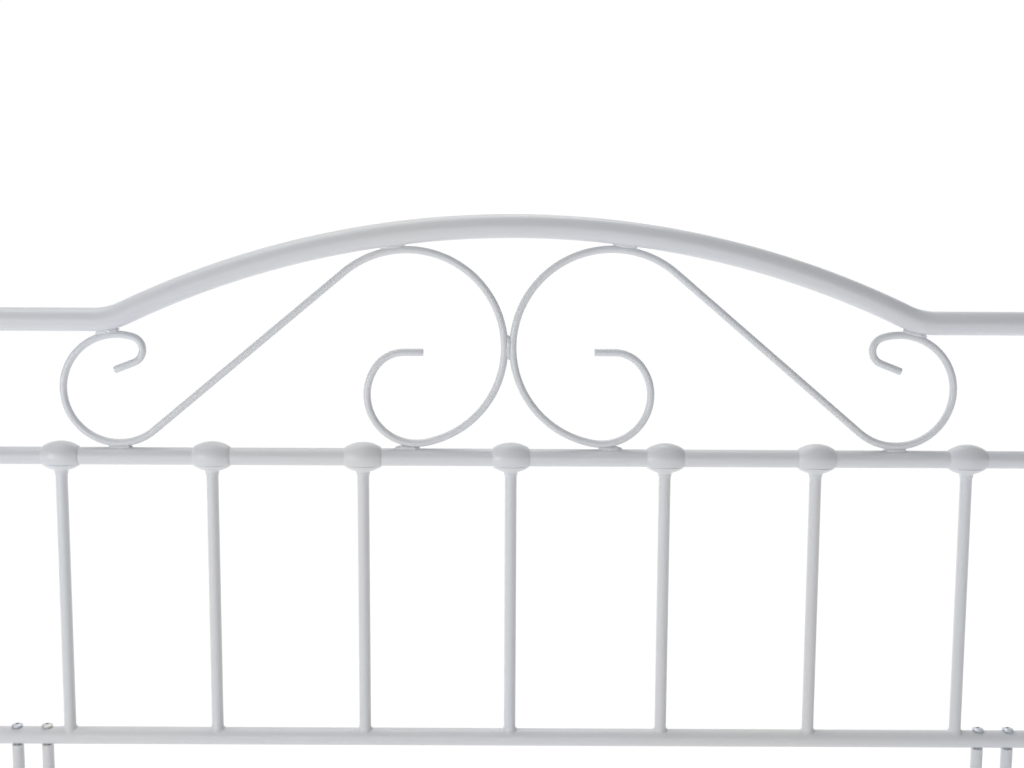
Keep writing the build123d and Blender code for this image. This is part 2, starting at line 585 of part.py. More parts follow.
def deck():
    pieces = deck_frame()
    slat_places = [SLAT_PITCH * (i - (SLATS - 1) / 2) for i in range(SLATS)]
    tube, caps = slat()
    centre = DECK_Z - SLAT_HEIGHT / 2
    pieces["deck_slats"] = group([Pos(x, 0, centre) * tube for x in slat_places])
    pieces["deck_slat_caps"] = group([Pos(x, 0, centre) * cap for x in slat_places for cap in caps])

    screw = button_screw(M5, DECK_SCREW_LENGTH, M5_HEAD, M5_HEAD_HEIGHT, M5_SOCKET)
    screws, holes = [], []
    for x in slat_places:
        for s in (-1, 1):
            screws.append(Pos(x, s * SLAT_SCREW_Y, shelf_top() - ANGLE_THICK) * Rot(180, 0, 0) * screw)
            hole = Cylinder(M5 / 2 + THREAD_FIT, 4 * ANGLE_THICK)
            holes.append(Pos(x, s * SLAT_SCREW_Y, shelf_top()) * hole)
    for s in (-1, 1):
        screws.append(Pos(s * LEG_X, tie_face(), ARM_LOW) * Rot(-90, 0, 0) * screw)
        holes.append(hole_along_y(s * LEG_X, ARM_LOW, M5 / 2 + THREAD_FIT, 8 * ANGLE_THICK, DECK_FACE_Y))
    for name in ("deck_front_angle", "deck_rear_angle"):
        near = 1 if name == "deck_rear_angle" else -1
        pieces[name] = drilled(pieces[name], [hole for hole in holes if hole.center().Y * near > 0])
    pieces["deck_screws"] = group(screws)

    bolts, nuts, spacers = [], [], []
    bolt = button_screw(M8, DECK_BOLT_LENGTH, M8_HEAD, M8_HEAD_HEIGHT, M8_SOCKET)
    spacer = Cylinder(M8, 2 * (POST_X - DECK_HALF)) - Cylinder(M8 / 2 + BOLT_FIT, BIG)
    for side_name, side in SIDES.items():
        rail = bar((side * POST_X, -POST_Y, ARM_LOW), (side * POST_X, POST_Y, ARM_LOW), RAIL_TUBE)
        outward = Rot(0, side * 90, 0)
        name = f"deck_{side_name}_angle"
        for s in (-1, 1):
            y = s * DECK_BOLT_Y
            bolts.append(Pos(side * (POST_X + RAIL_TUBE / 2), y, ARM_LOW) * outward * bolt)
            inner = side * (DECK_HALF - ANGLE_THICK - M8_NUT_HEIGHT)
            nuts.append(Pos(inner, y, ARM_LOW) * outward * nut(M8, M8_NUT_FLATS, M8_NUT_HEIGHT))
            sleeve = Pos(side * POST_X, y, ARM_LOW) * outward * spacer - rail
            spacers.append(sleeve.solids().sort_by(Axis.X)[0 if side > 0 else -1])
            hole = Pos(side * DECK_HALF, y, ARM_LOW) * outward * Cylinder(M8 / 2 + BOLT_FIT, 4 * ANGLE_THICK)
            pieces[name] -= hole
    pieces["deck_bolts"], pieces["deck_nuts"] = group(bolts), group(nuts)
    pieces["deck_spacers"] = group(spacers)

    rail_top = DECK_Z - SLAT_HEIGHT
    rail = Pos(0, 0, rail_top - CENTRE_RAIL_HEIGHT / 2) * (
        Box(2 * (DECK_HALF - ANGLE_DEPTH), CENTRE_RAIL_WIDTH, CENTRE_RAIL_HEIGHT)
        - Box(BIG, CENTRE_RAIL_WIDTH - 2 * CENTRE_RAIL_WALL, CENTRE_RAIL_HEIGHT - 2 * CENTRE_RAIL_WALL)
    )
    pieces["deck_centre_rail"] = rail
    leg_top = rail_top - CENTRE_RAIL_HEIGHT
    pieces["centre_leg"] = bar((0, 0, FOOT_Z), (0, 0, leg_top), CENTRE_LEG_TUBE, CENTRE_LEG_WALL)
    return pieces


# ---- The whole bed -----------------------------------------------------------------------------------------
def daybed():
    nodes, knuckles, beads = back_panel()
    nodes = {name: Pos(0, POST_Y, 0) * shape for name, shape in nodes.items()}
    knuckles = [Pos(0, POST_Y, 0) * shape for shape in knuckles]
    beads = [Pos(0, POST_Y, 0) * shape for shape in beads]

    rails, inserts, uprights, scroll, arm_beads, arm_knuckles = arm()
    all_inserts, all_uprights = [], []
    for side_name, side in SIDES.items():
        for name, rail in rails.items():
            nodes[f"{side_name}_arm_{name}"] = on_arm(side, rail)
        nodes[f"{side_name}_arm_scroll"] = on_arm(side, scroll)
        nodes[f"{side_name}_arm_spindles"] = group([on_arm(side, upright) for upright in uprights])
        all_inserts += [on_arm(side, insert) for insert in inserts]
        beads += [on_arm(side, bead) for bead in arm_beads]
        knuckles += [on_arm(side, casting) for casting in arm_knuckles]
        nodes[f"support_leg_{side_name}"] = support_leg(side)
    nodes["spindle_knuckles"] = group(knuckles)
    nodes["scroll_welds"] = group(beads)
    nodes["arm_rail_inserts"] = group(all_inserts)
    glides = [Pos(side * LEG_X, POST_Y, 0) * glide(M8 / 2, 3 * FOOT_THICK) for side in SIDES.values()]
    glides.append(glide(CENTRE_LEG_TUBE / 2 - CENTRE_LEG_WALL, INSERT_HEIGHT))
    nodes["leg_glides"] = group(glides)

    leg_screw = button_screw(M6, LEG_SCREW_LENGTH, M6_HEAD, M6_HEAD_HEIGHT, M6_SOCKET)
    rail_crest = BACK_LOW + RAIL_TUBE / 2
    nodes["support_screws"] = group([Pos(x, POST_Y, rail_crest) * leg_screw for x in leg_places()])

    nodes.update(deck())

    arm_bolt = button_screw(M8, ARM_BOLT_LENGTH, M8_HEAD, M8_HEAD_HEIGHT, M8_SOCKET)
    bolts, finials, foot_inserts = [], [], []
    for name, x, y, top in post_places():
        nodes[f"{name}_post"] = post(x, y, top)
        finials.append(Pos(x, y, top) * finial())
        foot_inserts.append(Pos(x, y, 0) * foot_insert(POST_RADIUS - POST_WALL))
        nodes[f"{name}_foot_pad"] = Pos(x, y, 0) * foot_pad()
        nodes[f"{name}_foot_stem"] = Pos(x, y, 0) * foot_stem()
        outward = 1 if y > 0 else -1
        for z in (ARM_LOW, ARM_MID):
            place = Pos(x, y + outward * POST_RADIUS, z) * Rot(-outward * 90, 0, 0)
            bolts.append(place * arm_bolt)
    nodes["arm_bolts"], nodes["post_finials"] = group(bolts), group(finials)
    nodes["foot_inserts"] = group(foot_inserts)
    return nodes


if __name__ == "__main__":
    os.makedirs("parts", exist_ok=True)
    for node_name, shape in daybed().items():
        export_step(shape, f"parts/{node_name}.step")
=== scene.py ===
"""Builds the looks of a white tubular-steel daybed around its CAD frame.

The back panel stands at +Y, the open front is at -Y, left is -X and the floor is at Z = 0. Metres throughout.
Every bent tube and rod is drawn in the XZ plane first and then carried to the back or to an arm.
"""

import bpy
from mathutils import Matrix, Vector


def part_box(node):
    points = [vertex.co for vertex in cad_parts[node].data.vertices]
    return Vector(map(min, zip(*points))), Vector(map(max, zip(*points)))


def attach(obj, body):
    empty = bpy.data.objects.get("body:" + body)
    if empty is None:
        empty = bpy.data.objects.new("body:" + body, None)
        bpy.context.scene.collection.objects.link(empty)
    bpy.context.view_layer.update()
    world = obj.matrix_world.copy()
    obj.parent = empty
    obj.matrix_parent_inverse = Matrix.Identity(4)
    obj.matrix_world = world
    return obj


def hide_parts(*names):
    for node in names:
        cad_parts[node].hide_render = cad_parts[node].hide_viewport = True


bl_info = {
    "name": "Scrolled Steel Daybed",
    "version": (1, 0, 0),
    "blender": (4, 5, 0),
    "location": "View3D > Sidebar > Daybed",
    "description": "Builds a powder-coated steel daybed with a scrolled back and scrolled arms",
    "category": "Object",
}

from math import acos, asin, atan2, ceil, cos, hypot, pi, radians, sin, sqrt, tan

import bmesh
import bpy
from bpy.props import FloatProperty, FloatVectorProperty, IntProperty, PointerProperty
from mathutils import Matrix, Vector, noise

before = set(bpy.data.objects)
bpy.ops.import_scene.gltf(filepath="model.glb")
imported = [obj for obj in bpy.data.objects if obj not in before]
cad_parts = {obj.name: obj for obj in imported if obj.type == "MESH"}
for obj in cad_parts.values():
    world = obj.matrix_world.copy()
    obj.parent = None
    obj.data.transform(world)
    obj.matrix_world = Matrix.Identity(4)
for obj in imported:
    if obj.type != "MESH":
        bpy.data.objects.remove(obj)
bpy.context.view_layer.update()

MM = 0.001
FRAME_BODY = "bed_frame"
SIDES = {"left": -1, "right": 1}
CORNERS = [f"{end}_{side}" for end in ("front", "rear") for side in SIDES]


# ---- Places, read from the frame ---------------------------------------------------------------------------
def low(node):
    return Vector(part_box(node)[0])


def high(node):
    return Vector(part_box(node)[1])


def centre(node):
    return (low(node) + high(node)) / 2


def size(node):
    return high(node) - low(node)


POST_X = centre("rear_right_post").x
POST_Y = centre("rear_right_post").y
POST_RADIUS = size("rear_right_post").x / 2
POST_FOOT = low("rear_right_post").z
TOP_RADIUS = size("back_top_rail").y / 2
RAIL_RADIUS = size("back_middle_rail").y / 2
SPINDLE_RADIUS = size("back_spindle_01").y / 2
ROD_RADIUS = size("back_scroll_left").y / 2
BACK_Y = centre("back_middle_rail").y
BACK_LOW = centre("back_lower_rail").z
BACK_MID = centre("back_middle_rail").z
BACK_TOP = low("back_top_rail").z + TOP_RADIUS
ARCH_RISE = high("back_top_rail").z - TOP_RADIUS - BACK_TOP
ARM_LOW = centre("left_arm_lower_rail").z
ARM_MID = centre("left_arm_middle_rail").z
ARM_FRONT_TOP = low("left_arm_top_rail").z + TOP_RADIUS
ARM_REAR_TOP = high("left_arm_top_rail").z - TOP_RADIUS
BACK_SPINDLES = sorted(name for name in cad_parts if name.startswith("back_spindle_"))
DECK_TOP = high("deck_slats").z
SLAT_THICK = size("deck_slats").z


# ---- Sizes and colours -------------------------------------------------------------------------------------
def length(name, description, default):
    return FloatProperty(
        name=name, description=description, default=default, unit="LENGTH", min=0.0, precision=5
    )


def share(name, description, default):
    return FloatProperty(
        name=name, description=description, default=default, subtype="FACTOR", min=0.0, max=1.0
    )


def turn_angle(name, description, default):
    return FloatProperty(name=name, description=description, default=radians(default), unit="ROTATION")


def colour(name, description, default):
    return FloatVectorProperty(
        name=name, description=description, default=default, subtype="COLOR", size=3, min=0.0, max=1.0
    )


class DaybedTubes(bpy.types.PropertyGroup):
    top_wall: length("Top rail wall", "Wall of the thickest rails", 1.5 * MM)
    rail_wall: length("Rail wall", "Wall of the middle and lower rails", 1.2 * MM)
    spindle_wall: length("Spindle wall", "Wall of the spindles and leg tubes", 1.0 * MM)
    post_wall: length("Post wall", "Wall of the four corner posts", 1.5 * MM)
    arch_half: length("Arch half width", "From the middle to where the arch would meet the ends", 430 * MM)
    arch_bend: length("Arch bend", "Radius of the bend at each end of the arch", 76 * MM)
    arm_slope_half: length("Arm slope half width", "Half the run of an arm's sloping stretch", 170 * MM)
    arm_bend: length("Arm bend", "Radius of an arm's two bends", 180 * MM)
    weld_reach: length("Weld reach", "How far a weld fillet climbs a tube", 3.6 * MM)
    weld_spread: length("Weld spread", "How far a weld fillet spreads from a tube", 2.0 * MM)


class DaybedScrolls(bpy.types.PropertyGroup):
    weld_gap: length("Weld gap", "Gap that each scroll weld bridges", 0.8 * MM)
    left_big: length("Left big loop", "Radius of the back's left big loop", 104.1 * MM)
    left_end: length("Left end loop", "Radius of the back's left end loop", 58.5 * MM)
    left_end_x: length("Left end loop place", "From the meeting point to the left end loop", 417.5 * MM)
    right_big: length("Right big loop", "Radius of the back's right big loop", 104.8 * MM)
    right_end: length("Right end loop", "Radius of the back's right end loop", 59.9 * MM)
    right_end_x: length("Right end loop place", "From the meeting point to the right end loop", 416.0 * MM)
    meeting: length("Meeting point", "From the bed's middle leftwards to where the scrolls meet", 6.4 * MM)
    arm_big_y: length("Arm big loop place", "From the arm's middle back to its big loop", 250 * MM)
    arm_end_y: length("Arm end loop place", "From the arm's middle forward to its end loop", 410 * MM)
    inner_share: share("Second turn", "Radius of the second turn as a share of the big loop's", 0.502)
    eye_share: share("Third turn", "Radius of the third turn as a share of the big loop's", 0.35)
    curl_share: share("Curl", "Radius of the curl as a share of the end loop's", 0.248)
    eye_tip: share("Eye tip", "Straight tip as a share of the big loop's radius", 0.2)
    curl_tip: share("Curl tip", "Straight tip as a share of the end loop's radius", 0.39)
    inner_from: turn_angle("Second turn from", "Angle on the big loop where the second turn begins", -79.5)
    eye_from: turn_angle("Third turn from", "Angle on the second turn where the third begins", -217.0)
    curl_from: turn_angle("Curl from", "Angle on the end loop where its curl begins", 73.0)
    curl_to: turn_angle("Curl to", "Angle at which the curl ends", -68.5)


class DaybedKnuckles(bpy.types.PropertyGroup):
    barrel_length: length("Barrel length", "Length of a knuckle along its rail", 39 * MM)
    crown: length("Crown radius", "Radius at the middle of the barrel", 16.6 * MM)
    rim: length("Rim radius", "Radius at the barrel's flat ends", 10.9 * MM)
    lip: length("Lip radius", "Radius of the bowl under the barrel", 14.6 * MM)
    lip_reach: length("Lip reach", "From the spindle's axis along the rail to the bowl's lip", 20.2 * MM)
    lip_drop: length("Lip drop", "From the rail's axis down to the bowl's lip", 9.4 * MM)
    bowl_drop: length("Bowl drop", "From the rail's axis down to the bottom of the bowl", 15.8 * MM)
    neck_drop: length("Neck drop", "From the rail's axis down to the end of the neck", 20 * MM)


class DaybedFeet(bpy.types.PropertyGroup):
    finial_plug: length("Finial plug", "Depth of the finial inside its post", 18 * MM)
    finial_flange: length("Finial flange", "Height of the finial's flange", 4 * MM)
    finial_neck: length("Finial neck", "Radius of the finial's neck", 9 * MM)
    finial_ball: length("Finial ball", "Radius of the finial's ball", 18.5 * MM)
    finial_rise: length("Finial rise", "From the post's top to the ball's centre", 26 * MM)
    pad_floor: length("Pad floor", "Thickness under the stem in a pad", 2.8 * MM)
    thread: length("Thread", "Radius of a foot's stem", 4 * MM)
    thread_pitch: length("Thread pitch", "Rise of a foot's thread in one turn", 1.25 * MM)
    stem_hex: length("Stem hexagon", "Across the flats of a foot's hexagon", 17 * MM)
    stem_hex_low: length("Stem hexagon height", "From the floor to the hexagon", 9.3 * MM)
    stem_hex_height: length("Stem hexagon thickness", "Thickness of the hexagon", 5 * MM)
    glide: length("Glide", "Radius of a fixed glide", 16 * MM)


class DaybedLegs(bpy.types.PropertyGroup):
    spread: length("Spread", "Between the two tubes of a support leg", 33 * MM)
    plate: length("Plate", "Thickness of a foot plate", 4 * MM)
    tie_face: length("Tie face", "From the bed's middle back to the face of the ties", 496.5 * MM)
    tie_thick: length("Tie thickness", "Thickness of a tie", 3 * MM)
    tie_height: length("Tie height", "Height of a tie", 24 * MM)


class DaybedDeck(bpy.types.PropertyGroup):
    angle_depth: length("Angle depth", "Width of an angle's shelf", 30 * MM)
    angle_thick: length("Angle thickness", "Thickness of the angles", 3 * MM)
    slats: IntProperty(name="Slats", description="How many slats", default=13, min=2)
    slat_pitch: length("Slat pitch", "From one slat to the next", 145 * MM)
    slat_width: length("Slat width", "Width of a slat", 30 * MM)
    slat_wall: length("Slat wall", "Wall of a slat", 1.2 * MM)
    slat_corner: length("Slat corner", "Radius of a slat's corners", 4 * MM)
    plug: length("Plug", "How far an end plug reaches into its slat", 28 * MM)


class DaybedFasteners(bpy.types.PropertyGroup):
    m8: length("Bolt", "Radius of the bolts", 4 * MM)
    m8_head: length("Bolt head", "Radius of a bolt's head", 7 * MM)
    m8_rise: length("Bolt head height", "Height of a bolt's head", 4.4 * MM)
    arm_bolt: length("Arm bolt", "Length of an arm bolt", 60 * MM)
    deck_bolt: length("Deck bolt", "Length of a deck bolt", 45 * MM)
    deck_bolt_y: length("Deck bolt place", "From the bed's middle to a deck bolt", 250 * MM)
    nut_flats: length("Nut", "Across the flats of a nut", 13 * MM)
    nut_height: length("Nut height", "Height of a nut", 6.5 * MM)
    m6: length("Leg screw", "Radius of the leg screws", 3 * MM)
    m6_head: length("Leg screw head", "Radius of a leg screw's head", 6 * MM)
    m5: length("Deck screw", "Radius of the deck screws", 2.5 * MM)
    m5_head: length("Deck screw head", "Radius of a deck screw's head", 4.75 * MM)
    m5_rise: length("Deck screw head height", "Height of a deck screw's head", 2.7 * MM)
    deck_screw: length("Deck screw length", "Length of a deck screw", 12 * MM)
    slat_screw_y: length("Slat screw place", "From the bed's middle to a slat's screw", 474 * MM)


class DaybedStage(bpy.types.PropertyGroup):
    lens: FloatProperty(name="Lens", description="Focal length in millimetres", default=52.73, min=10.0)
    stand_off: length("Stand-off", "From the camera to the plane of the back", 1589.7 * MM)
    above_rail: length("Camera height", "From the back's middle rail up to the camera", 291.1 * MM)
    aside: length("Camera offset", "From the middle of the bed to the camera, leftwards", 4.9 * MM)
    pitch: turn_angle("Pitch", "How far the camera looks down", 7.57)
    yaw: turn_angle("Yaw", "How far the camera turns to the right", 0.08)
    roll: turn_angle("Roll", "How far the camera leans", 0.28)


class DaybedColours(bpy.types.PropertyGroup):
    coat: colour("Powder coat", "Satin white of the steelwork", (0.80, 0.81, 0.83))
    zinc: colour("Zinc", "Bright zinc of the fasteners", (0.62, 0.63, 0.65))
    nylon: colour("Nylon", "Black of the moulded feet and plugs", (0.03, 0.03, 0.032))
    knob: colour("Finials", "White of the moulded finials", (0.80, 0.81, 0.83))


# ---- Finishes ----------------------------------------------------------------------------------------------
class Signal:
    """A node's output that Python arithmetic can be written with."""

    def __init__(self, graph, socket):
        self.graph, self.socket = graph, socket

    def _with(self, operation, first, second):
        return self.graph.node("ShaderNodeMath", {"operation": operation}, {0: first, 1: second})

    def __add__(self, other):
        return self._with("ADD", self, other)

    def __radd__(self, other):
        return self._with("ADD", other, self)

    def __sub__(self, other):
        return self._with("SUBTRACT", self, other)

    def __rsub__(self, other):
        return self._with("SUBTRACT", other, self)

    def __mul__(self, other):
        return self._with("MULTIPLY", self, other)

    def __rmul__(self, other):
        return self._with("MULTIPLY", other, self)


class Graph:
    """The nodes of one material or of the world."""

    def __init__(self, owner):
        owner.use_nodes = True
        self.tree = owner.node_tree
        self.tree.nodes.clear()

    def node(self, kind, settings=None, inputs=None, output=0):
        """Adds a node, with its settings made first and then its inputs, and gives one of its outputs."""
        made = self.tree.nodes.new(kind)
        for key, value in (settings or {}).items():
            setattr(made, key, value)
        for key, value in (inputs or {}).items():
            if isinstance(value, Signal):
                self.tree.links.new(value.socket, made.inputs[key])
            else:
                made.inputs[key].default_value = value
        return Signal(self, made.outputs[output]) if made.outputs else made

    def place(self):
        return self.node("ShaderNodeTexCoord", output="Object")

    def noise(self, where, scale, detail=2.0, roughness=0.5):
        return self.node(
            "ShaderNodeTexNoise",
            inputs={"Vector": where, "Scale": scale, "Detail": detail, "Roughness": roughness},
        )

    def stretched(self, where, scale):
        return self.node("ShaderNodeMapping", inputs={"Vector": where, "Scale": scale})

    def smooth(self, value, start, end, to_min=0.0, to_max=1.0):
        return self.node(
            "ShaderNodeMapRange",
            {"interpolation_type": "SMOOTHSTEP"},
            {"Value": value, "From Min": start, "From Max": end, "To Min": to_min, "To Max": to_max},
        )

    def mixed(self, factor, first, second):
        return self.node("ShaderNodeMix", {"data_type": "RGBA"}, {0: factor, 6: first, 7: second}, output=2)

    def bump(self, height, distance, strength=1.0, normal=None):
        inputs = {"Height": height, "Distance": distance, "Strength": strength}
        if normal:
            inputs["Normal"] = normal
        return self.node("ShaderNodeBump", inputs=inputs)

    def surface(self, **inputs):
        inputs = {key.replace("_", " "): value for key, value in inputs.items()}
        shader = self.node("ShaderNodeBsdfPrincipled", inputs=inputs)
        self.node("ShaderNodeOutputMaterial", inputs={"Surface": shader})


def tone(base, factor, tint=(1.0, 1.0, 1.0)):
    """A colour made lighter or darker, and tinted."""
    return tuple(min(1.0, c * factor * t) for c, t in zip(base, tint)) + (1.0,)


def powder_coat(name, base, gloss):
    """Baked powder: a fine orange peel, faint drifts of tone and a satin to gloss skin."""
    material = bpy.data.materials.new(name)
    graph = Graph(material)
    where = graph.place()
    drift = graph.noise(where, 2.6, 3.0)
    specks = graph.noise(where, 900.0, 1.0)
    peel = graph.noise(where, 420.0, 2.0, 0.45)
    flow = graph.noise(where, 95.0, 2.0, 0.4)
    cool = tone(base, 1.0, (0.985, 0.997, 1.02))
    warm = tone(base, 0.985, (1.012, 1.0, 0.985))
    tinted = graph.mixed(graph.smooth(drift, 0.35, 0.65), cool, warm)
    coloured = graph.mixed(graph.smooth(specks, 0.7, 0.8) * 0.35, tinted, tone(base, 0.72))
    skin = graph.bump(peel, 0.05 * MM, 0.35, graph.bump(flow, 0.12 * MM, 0.3))
    graph.surface(
        Base_Color=coloured,
        Roughness=gloss + 0.1 * graph.smooth(drift, 0.3, 0.7) + 0.08 * (peel - 0.5),
        Normal=skin,
        Coat_Weight=0.25,
        Coat_Roughness=0.12,
    )
    return material


def bright_zinc(name, base):
    """Zinc plate: bright grey metal with fine rolling marks and a faint straw and blue bloom."""
    material = bpy.data.materials.new(name)
    graph = Graph(material)
    where = graph.place()
    bloom = graph.noise(where, 60.0, 3.0)
    marks = graph.noise(graph.stretched(where, (900.0, 900.0, 120.0)), 1.0, 3.0)
    blotches = graph.noise(where, 350.0, 4.0, 0.6)
    blue, straw = tone(base, 1.0, (0.96, 0.99, 1.05)), tone(base, 1.03, (1.05, 1.0, 0.9))
    plated = graph.mixed(graph.smooth(bloom, 0.4, 0.6), blue, straw)
    dulled = graph.mixed(graph.smooth(blotches, 0.55, 0.75) * 0.5, plated, tone(base, 0.6))
    graph.surface(
        Base_Color=dulled,
        Metallic=1.0,
        Roughness=0.22 + 0.25 * marks + 0.12 * blotches,
        Normal=graph.bump(marks, 0.02 * MM, 0.5),
    )
    return material


def moulded_nylon(name, base):
    """Black nylon from an etched mould: a fine dull grain, scuffed paler in places."""
    material = bpy.data.materials.new(name)
    graph = Graph(material)
    where = graph.place()
    grain = graph.noise(where, 1600.0, 2.0, 0.6)
    scuffs = graph.noise(graph.stretched(where, (90.0, 90.0, 420.0)), 1.0, 4.0, 0.65)
    rubbed = graph.smooth(scuffs, 0.58, 0.72)
    graph.surface(
        Base_Color=graph.mixed(rubbed * 0.5, tone(base, 1.0), (0.09, 0.09, 0.092, 1.0)),
        Roughness=0.48 + 0.2 * grain + 0.1 * rubbed,
        Normal=graph.bump(grain, 0.03 * MM, 0.5),
    )
    return material


SATIN, GLOSS = 0.3, 0.2  # base roughness of the coat and of the finials
FINISHES = {}


class DAYBED_OT_finishes(bpy.types.Operator):
    """Mixes the four finishes that the pieces are given"""

    bl_idname = "daybed.finishes"
    bl_label = "Finishes"

    def execute(self, context):
        colours = context.scene.daybed_colours
        FINISHES["white_powder_coat"] = powder_coat("white_powder_coat_finish", tuple(colours.coat), SATIN)
        FINISHES["white_plastic"] = powder_coat("white_plastic_finish", tuple(colours.knob), GLOSS)
        FINISHES["bright_zinc"] = bright_zinc("bright_zinc_finish", tuple(colours.zinc))
        FINISHES["black_nylon"] = moulded_nylon("black_nylon_finish", tuple(colours.nylon))
        return {"FINISHED"}


# ---- Shaping -----------------------------------------------------------------------------------------------
CHORD_ERROR = 0.015 * MM  # how far a facet may leave the true arc
RUN_STEP = 20 * MM  # longest step of a straight run
START_STEP = 0.05 * MM  # from ring to ring at a tube's end, before each is seated on its neighbour
FIT = 0.05 * MM  # clearance between a hole and what it holds
SEAM_GAP = 0.005 * MM  # points nearer than this are joined where a turned shape closes
WELD_PROFILE = (0.0, 0.35, 0.65, 0.88, 1.0)  # rings of a weld fillet, from the tube to its neighbour
WELD_RIPPLE, RIPPLE_TURN = 0.12, 9.0  # of the weld's spread, and radians from its foot to its neighbour
SAME_POINT = 0.001 * MM  # points nearer than this are joined in a finished piece
SOFT_FORMS, CRISP_FORMS = 38, 30  # degrees above which an edge is shaded sharp
SCROLL_END = 0.7 * MM  # rounding of a scroll's cut ends
BEAD = (13.0 * MM, 4.4 * MM, 3.4 * MM)  # half length, half width and half height of a weld bead
BEAD_LUMPS, BEAD_PUDDLES = 0.16, 0.1  # how far a bead swells and shrinks, as shares of its size


def steps_for(radius, angle):
    """Steps that keep an arc's facets within CHORD_ERROR of it."""
    step = 2 * acos(max(0.0, 1 - CHORD_ERROR / max(radius, 2 * CHORD_ERROR)))
    return max(2, ceil(abs(angle) / step))


def edges_among(verts):
    inside = set(verts)
    return list({edge for vert in verts for edge in vert.link_edges if edge.other_vert(vert) in inside})


def verts_in(geom):
    return [item for item in geom if isinstance(item, bmesh.types.BMVert)]


def at(x, y, z):
    return Matrix.Translation((x, y, z))


def about(axis, angle):
    return Matrix.Rotation(angle, 4, axis)


def over(node, z=0.0):
    """Carries a shape from the origin to the upright line through a node's middle."""
    return at(centre(node).x, centre(node).y, z)


class Trace:
    """Carries a ring, or a single point, along straight runs and turns in the XZ plane."""

    def __init__(self, bm, start, heading, radius=0.0, sides=32):
        self.bm, self.place, self.heading, self.radius = bm, Vector((start[0], 0, start[1])), heading, radius
        if radius:
            self.verts = bmesh.ops.create_circle(bm, radius=radius, segments=sides)["verts"]
            stance = Matrix.Translation(self.place) @ about("Y", pi / 2 - heading)
            bmesh.ops.transform(bm, matrix=stance, verts=self.verts)
        else:
            self.verts = [bm.verts.new(self.place)]
        self.first = list(self.verts)
        self.start = (self.place.copy(), heading)

    def _carry(self, pivot, angle, step, steps):
        geom = edges_among(self.verts) if self.radius else self.verts
        made = bmesh.ops.spin(
            self.bm, geom=geom, cent=pivot, axis=(0, -1, 0), dvec=step, angle=angle, steps=steps
        )
        self.verts = verts_in(made["geom_last"])

    def run(self, distance):
        """Straight ahead, in steps short enough to shade cleanly."""
        steps = max(1, ceil(distance / RUN_STEP))
        ahead = Vector((cos(self.heading), 0, sin(self.heading))) * distance
        self._carry(self.place, 0.0, ahead / steps, steps)
        self.place = self.place + ahead
        return self

    def turn(self, radius, angle, steps=None):
        """Round an arc, to the left where the angle is positive."""
        towards = Vector((-sin(self.heading), 0, cos(self.heading))) * (radius if angle > 0 else -radius)
        pivot = self.place + towards
        self._carry(pivot, angle, (0, 0, 0), steps or steps_for(radius, angle))
        self.place = pivot + Matrix.Rotation(angle, 3, Vector((0, -1, 0))) @ (self.place - pivot)
        self.heading += angle
        return self

    def resize(self, radius):
        """Widens or narrows the ring where it stands."""
        factor = radius / self.radius
        space = Matrix.Translation(-self.place)
        bmesh.ops.scale(self.bm, vec=(factor, factor, factor), space=space, verts=self.verts)
        self.radius = radius

    def backwards(self):
        """A trace that goes the other way from where this one began."""
        other = Trace.__new__(Trace)
        other.bm, other.radius, other.verts = self.bm, self.radius, self.first
        other.place, other.heading = self.start[0], self.start[1] + pi
        return other


def follow(trace, moves):
    """Moves are lengths of straight runs and (radius, angle) pairs of turns."""
    for move in moves:
        if isinstance(move, tuple):
            trace.turn(*move)
        else:
            trace.run(move)
    return trace


def close_end(bm, verts, soften):
    """Fills a ring and rounds its rim."""
    rim = edges_among(verts)
    bmesh.ops.contextual_create(bm, geom=rim)
    bevelled(bm, rim, soften)


class Saddle:
    """Where a tube's end lies against a round one: its place along an axis, its radius and the side."""

    def __init__(self, axis, place, radius, side, welded=True):
        self.axis, self.place, self.radius, self.side, self.welded = axis, place, radius, side, welded

    def seat(self, verts, clear=0.0):
        for vert in verts:
            reach = sqrt(max(0.0, self.radius**2 - vert.co.y**2))
            vert.co[self.axis] = self.place + self.side * (reach + clear)


def weld_foot(trace, saddle, tubes):
    """Ends a tube in a fillet of weld on the tube that it meets."""
    bare = trace.radius
    for nearness in WELD_PROFILE:
        trace.run(START_STEP)
        ripple = WELD_RIPPLE * tubes.weld_spread * sin(nearness * RIPPLE_TURN)
        trace.resize(bare + tubes.weld_spread * nearness**2.2 + ripple)
        saddle.seat(trace.verts, tubes.weld_reach * (1 - nearness))


def hollow_tube(bm, start, heading, moves, radius, wall, saddles, tubes, sides=32):
    """A tube with its bore, welded at both ends to round tubes."""
    outer = follow(Trace(bm, start, heading, radius, sides), moves)
    tail = outer.backwards()
    inner = follow(Trace(bm, start, heading, radius - wall, sides), moves)
    for skin, bore, saddle in ((tail, inner.first, saddles[0]), (outer, inner.verts, saddles[1])):
        if saddle.welded:
            weld_foot(skin, saddle, tubes)
        else:
            skin.run(START_STEP)
            saddle.seat(skin.verts)
        saddle.seat(bore)
        bmesh.ops.bridge_loops(bm, edges=edges_among(skin.verts) + edges_among(bore))


def spun(bm, axis=(0, 0, 1), steps=48):
    """Turns a profile right round an axis through the origin."""
    verts = list(bm.verts)
    bmesh.ops.spin(
        bm,
        geom=verts + edges_among(verts),
        cent=(0, 0, 0),
        axis=axis,
        angle=2 * pi,
        steps=steps,
        use_merge=True,
    )
    bmesh.ops.remove_doubles(bm, verts=bm.verts, dist=SEAM_GAP)


def bevelled(bm, edges, offset, segments=3):
    """Rounds edges by an offset."""
    bmesh.ops.bevel(
        bm,
        geom=edges,
        offset=offset,
        segments=segments,
        profile=0.5,
        affect="EDGES",
        material=-1,
        clamp_overlap=True,
    )


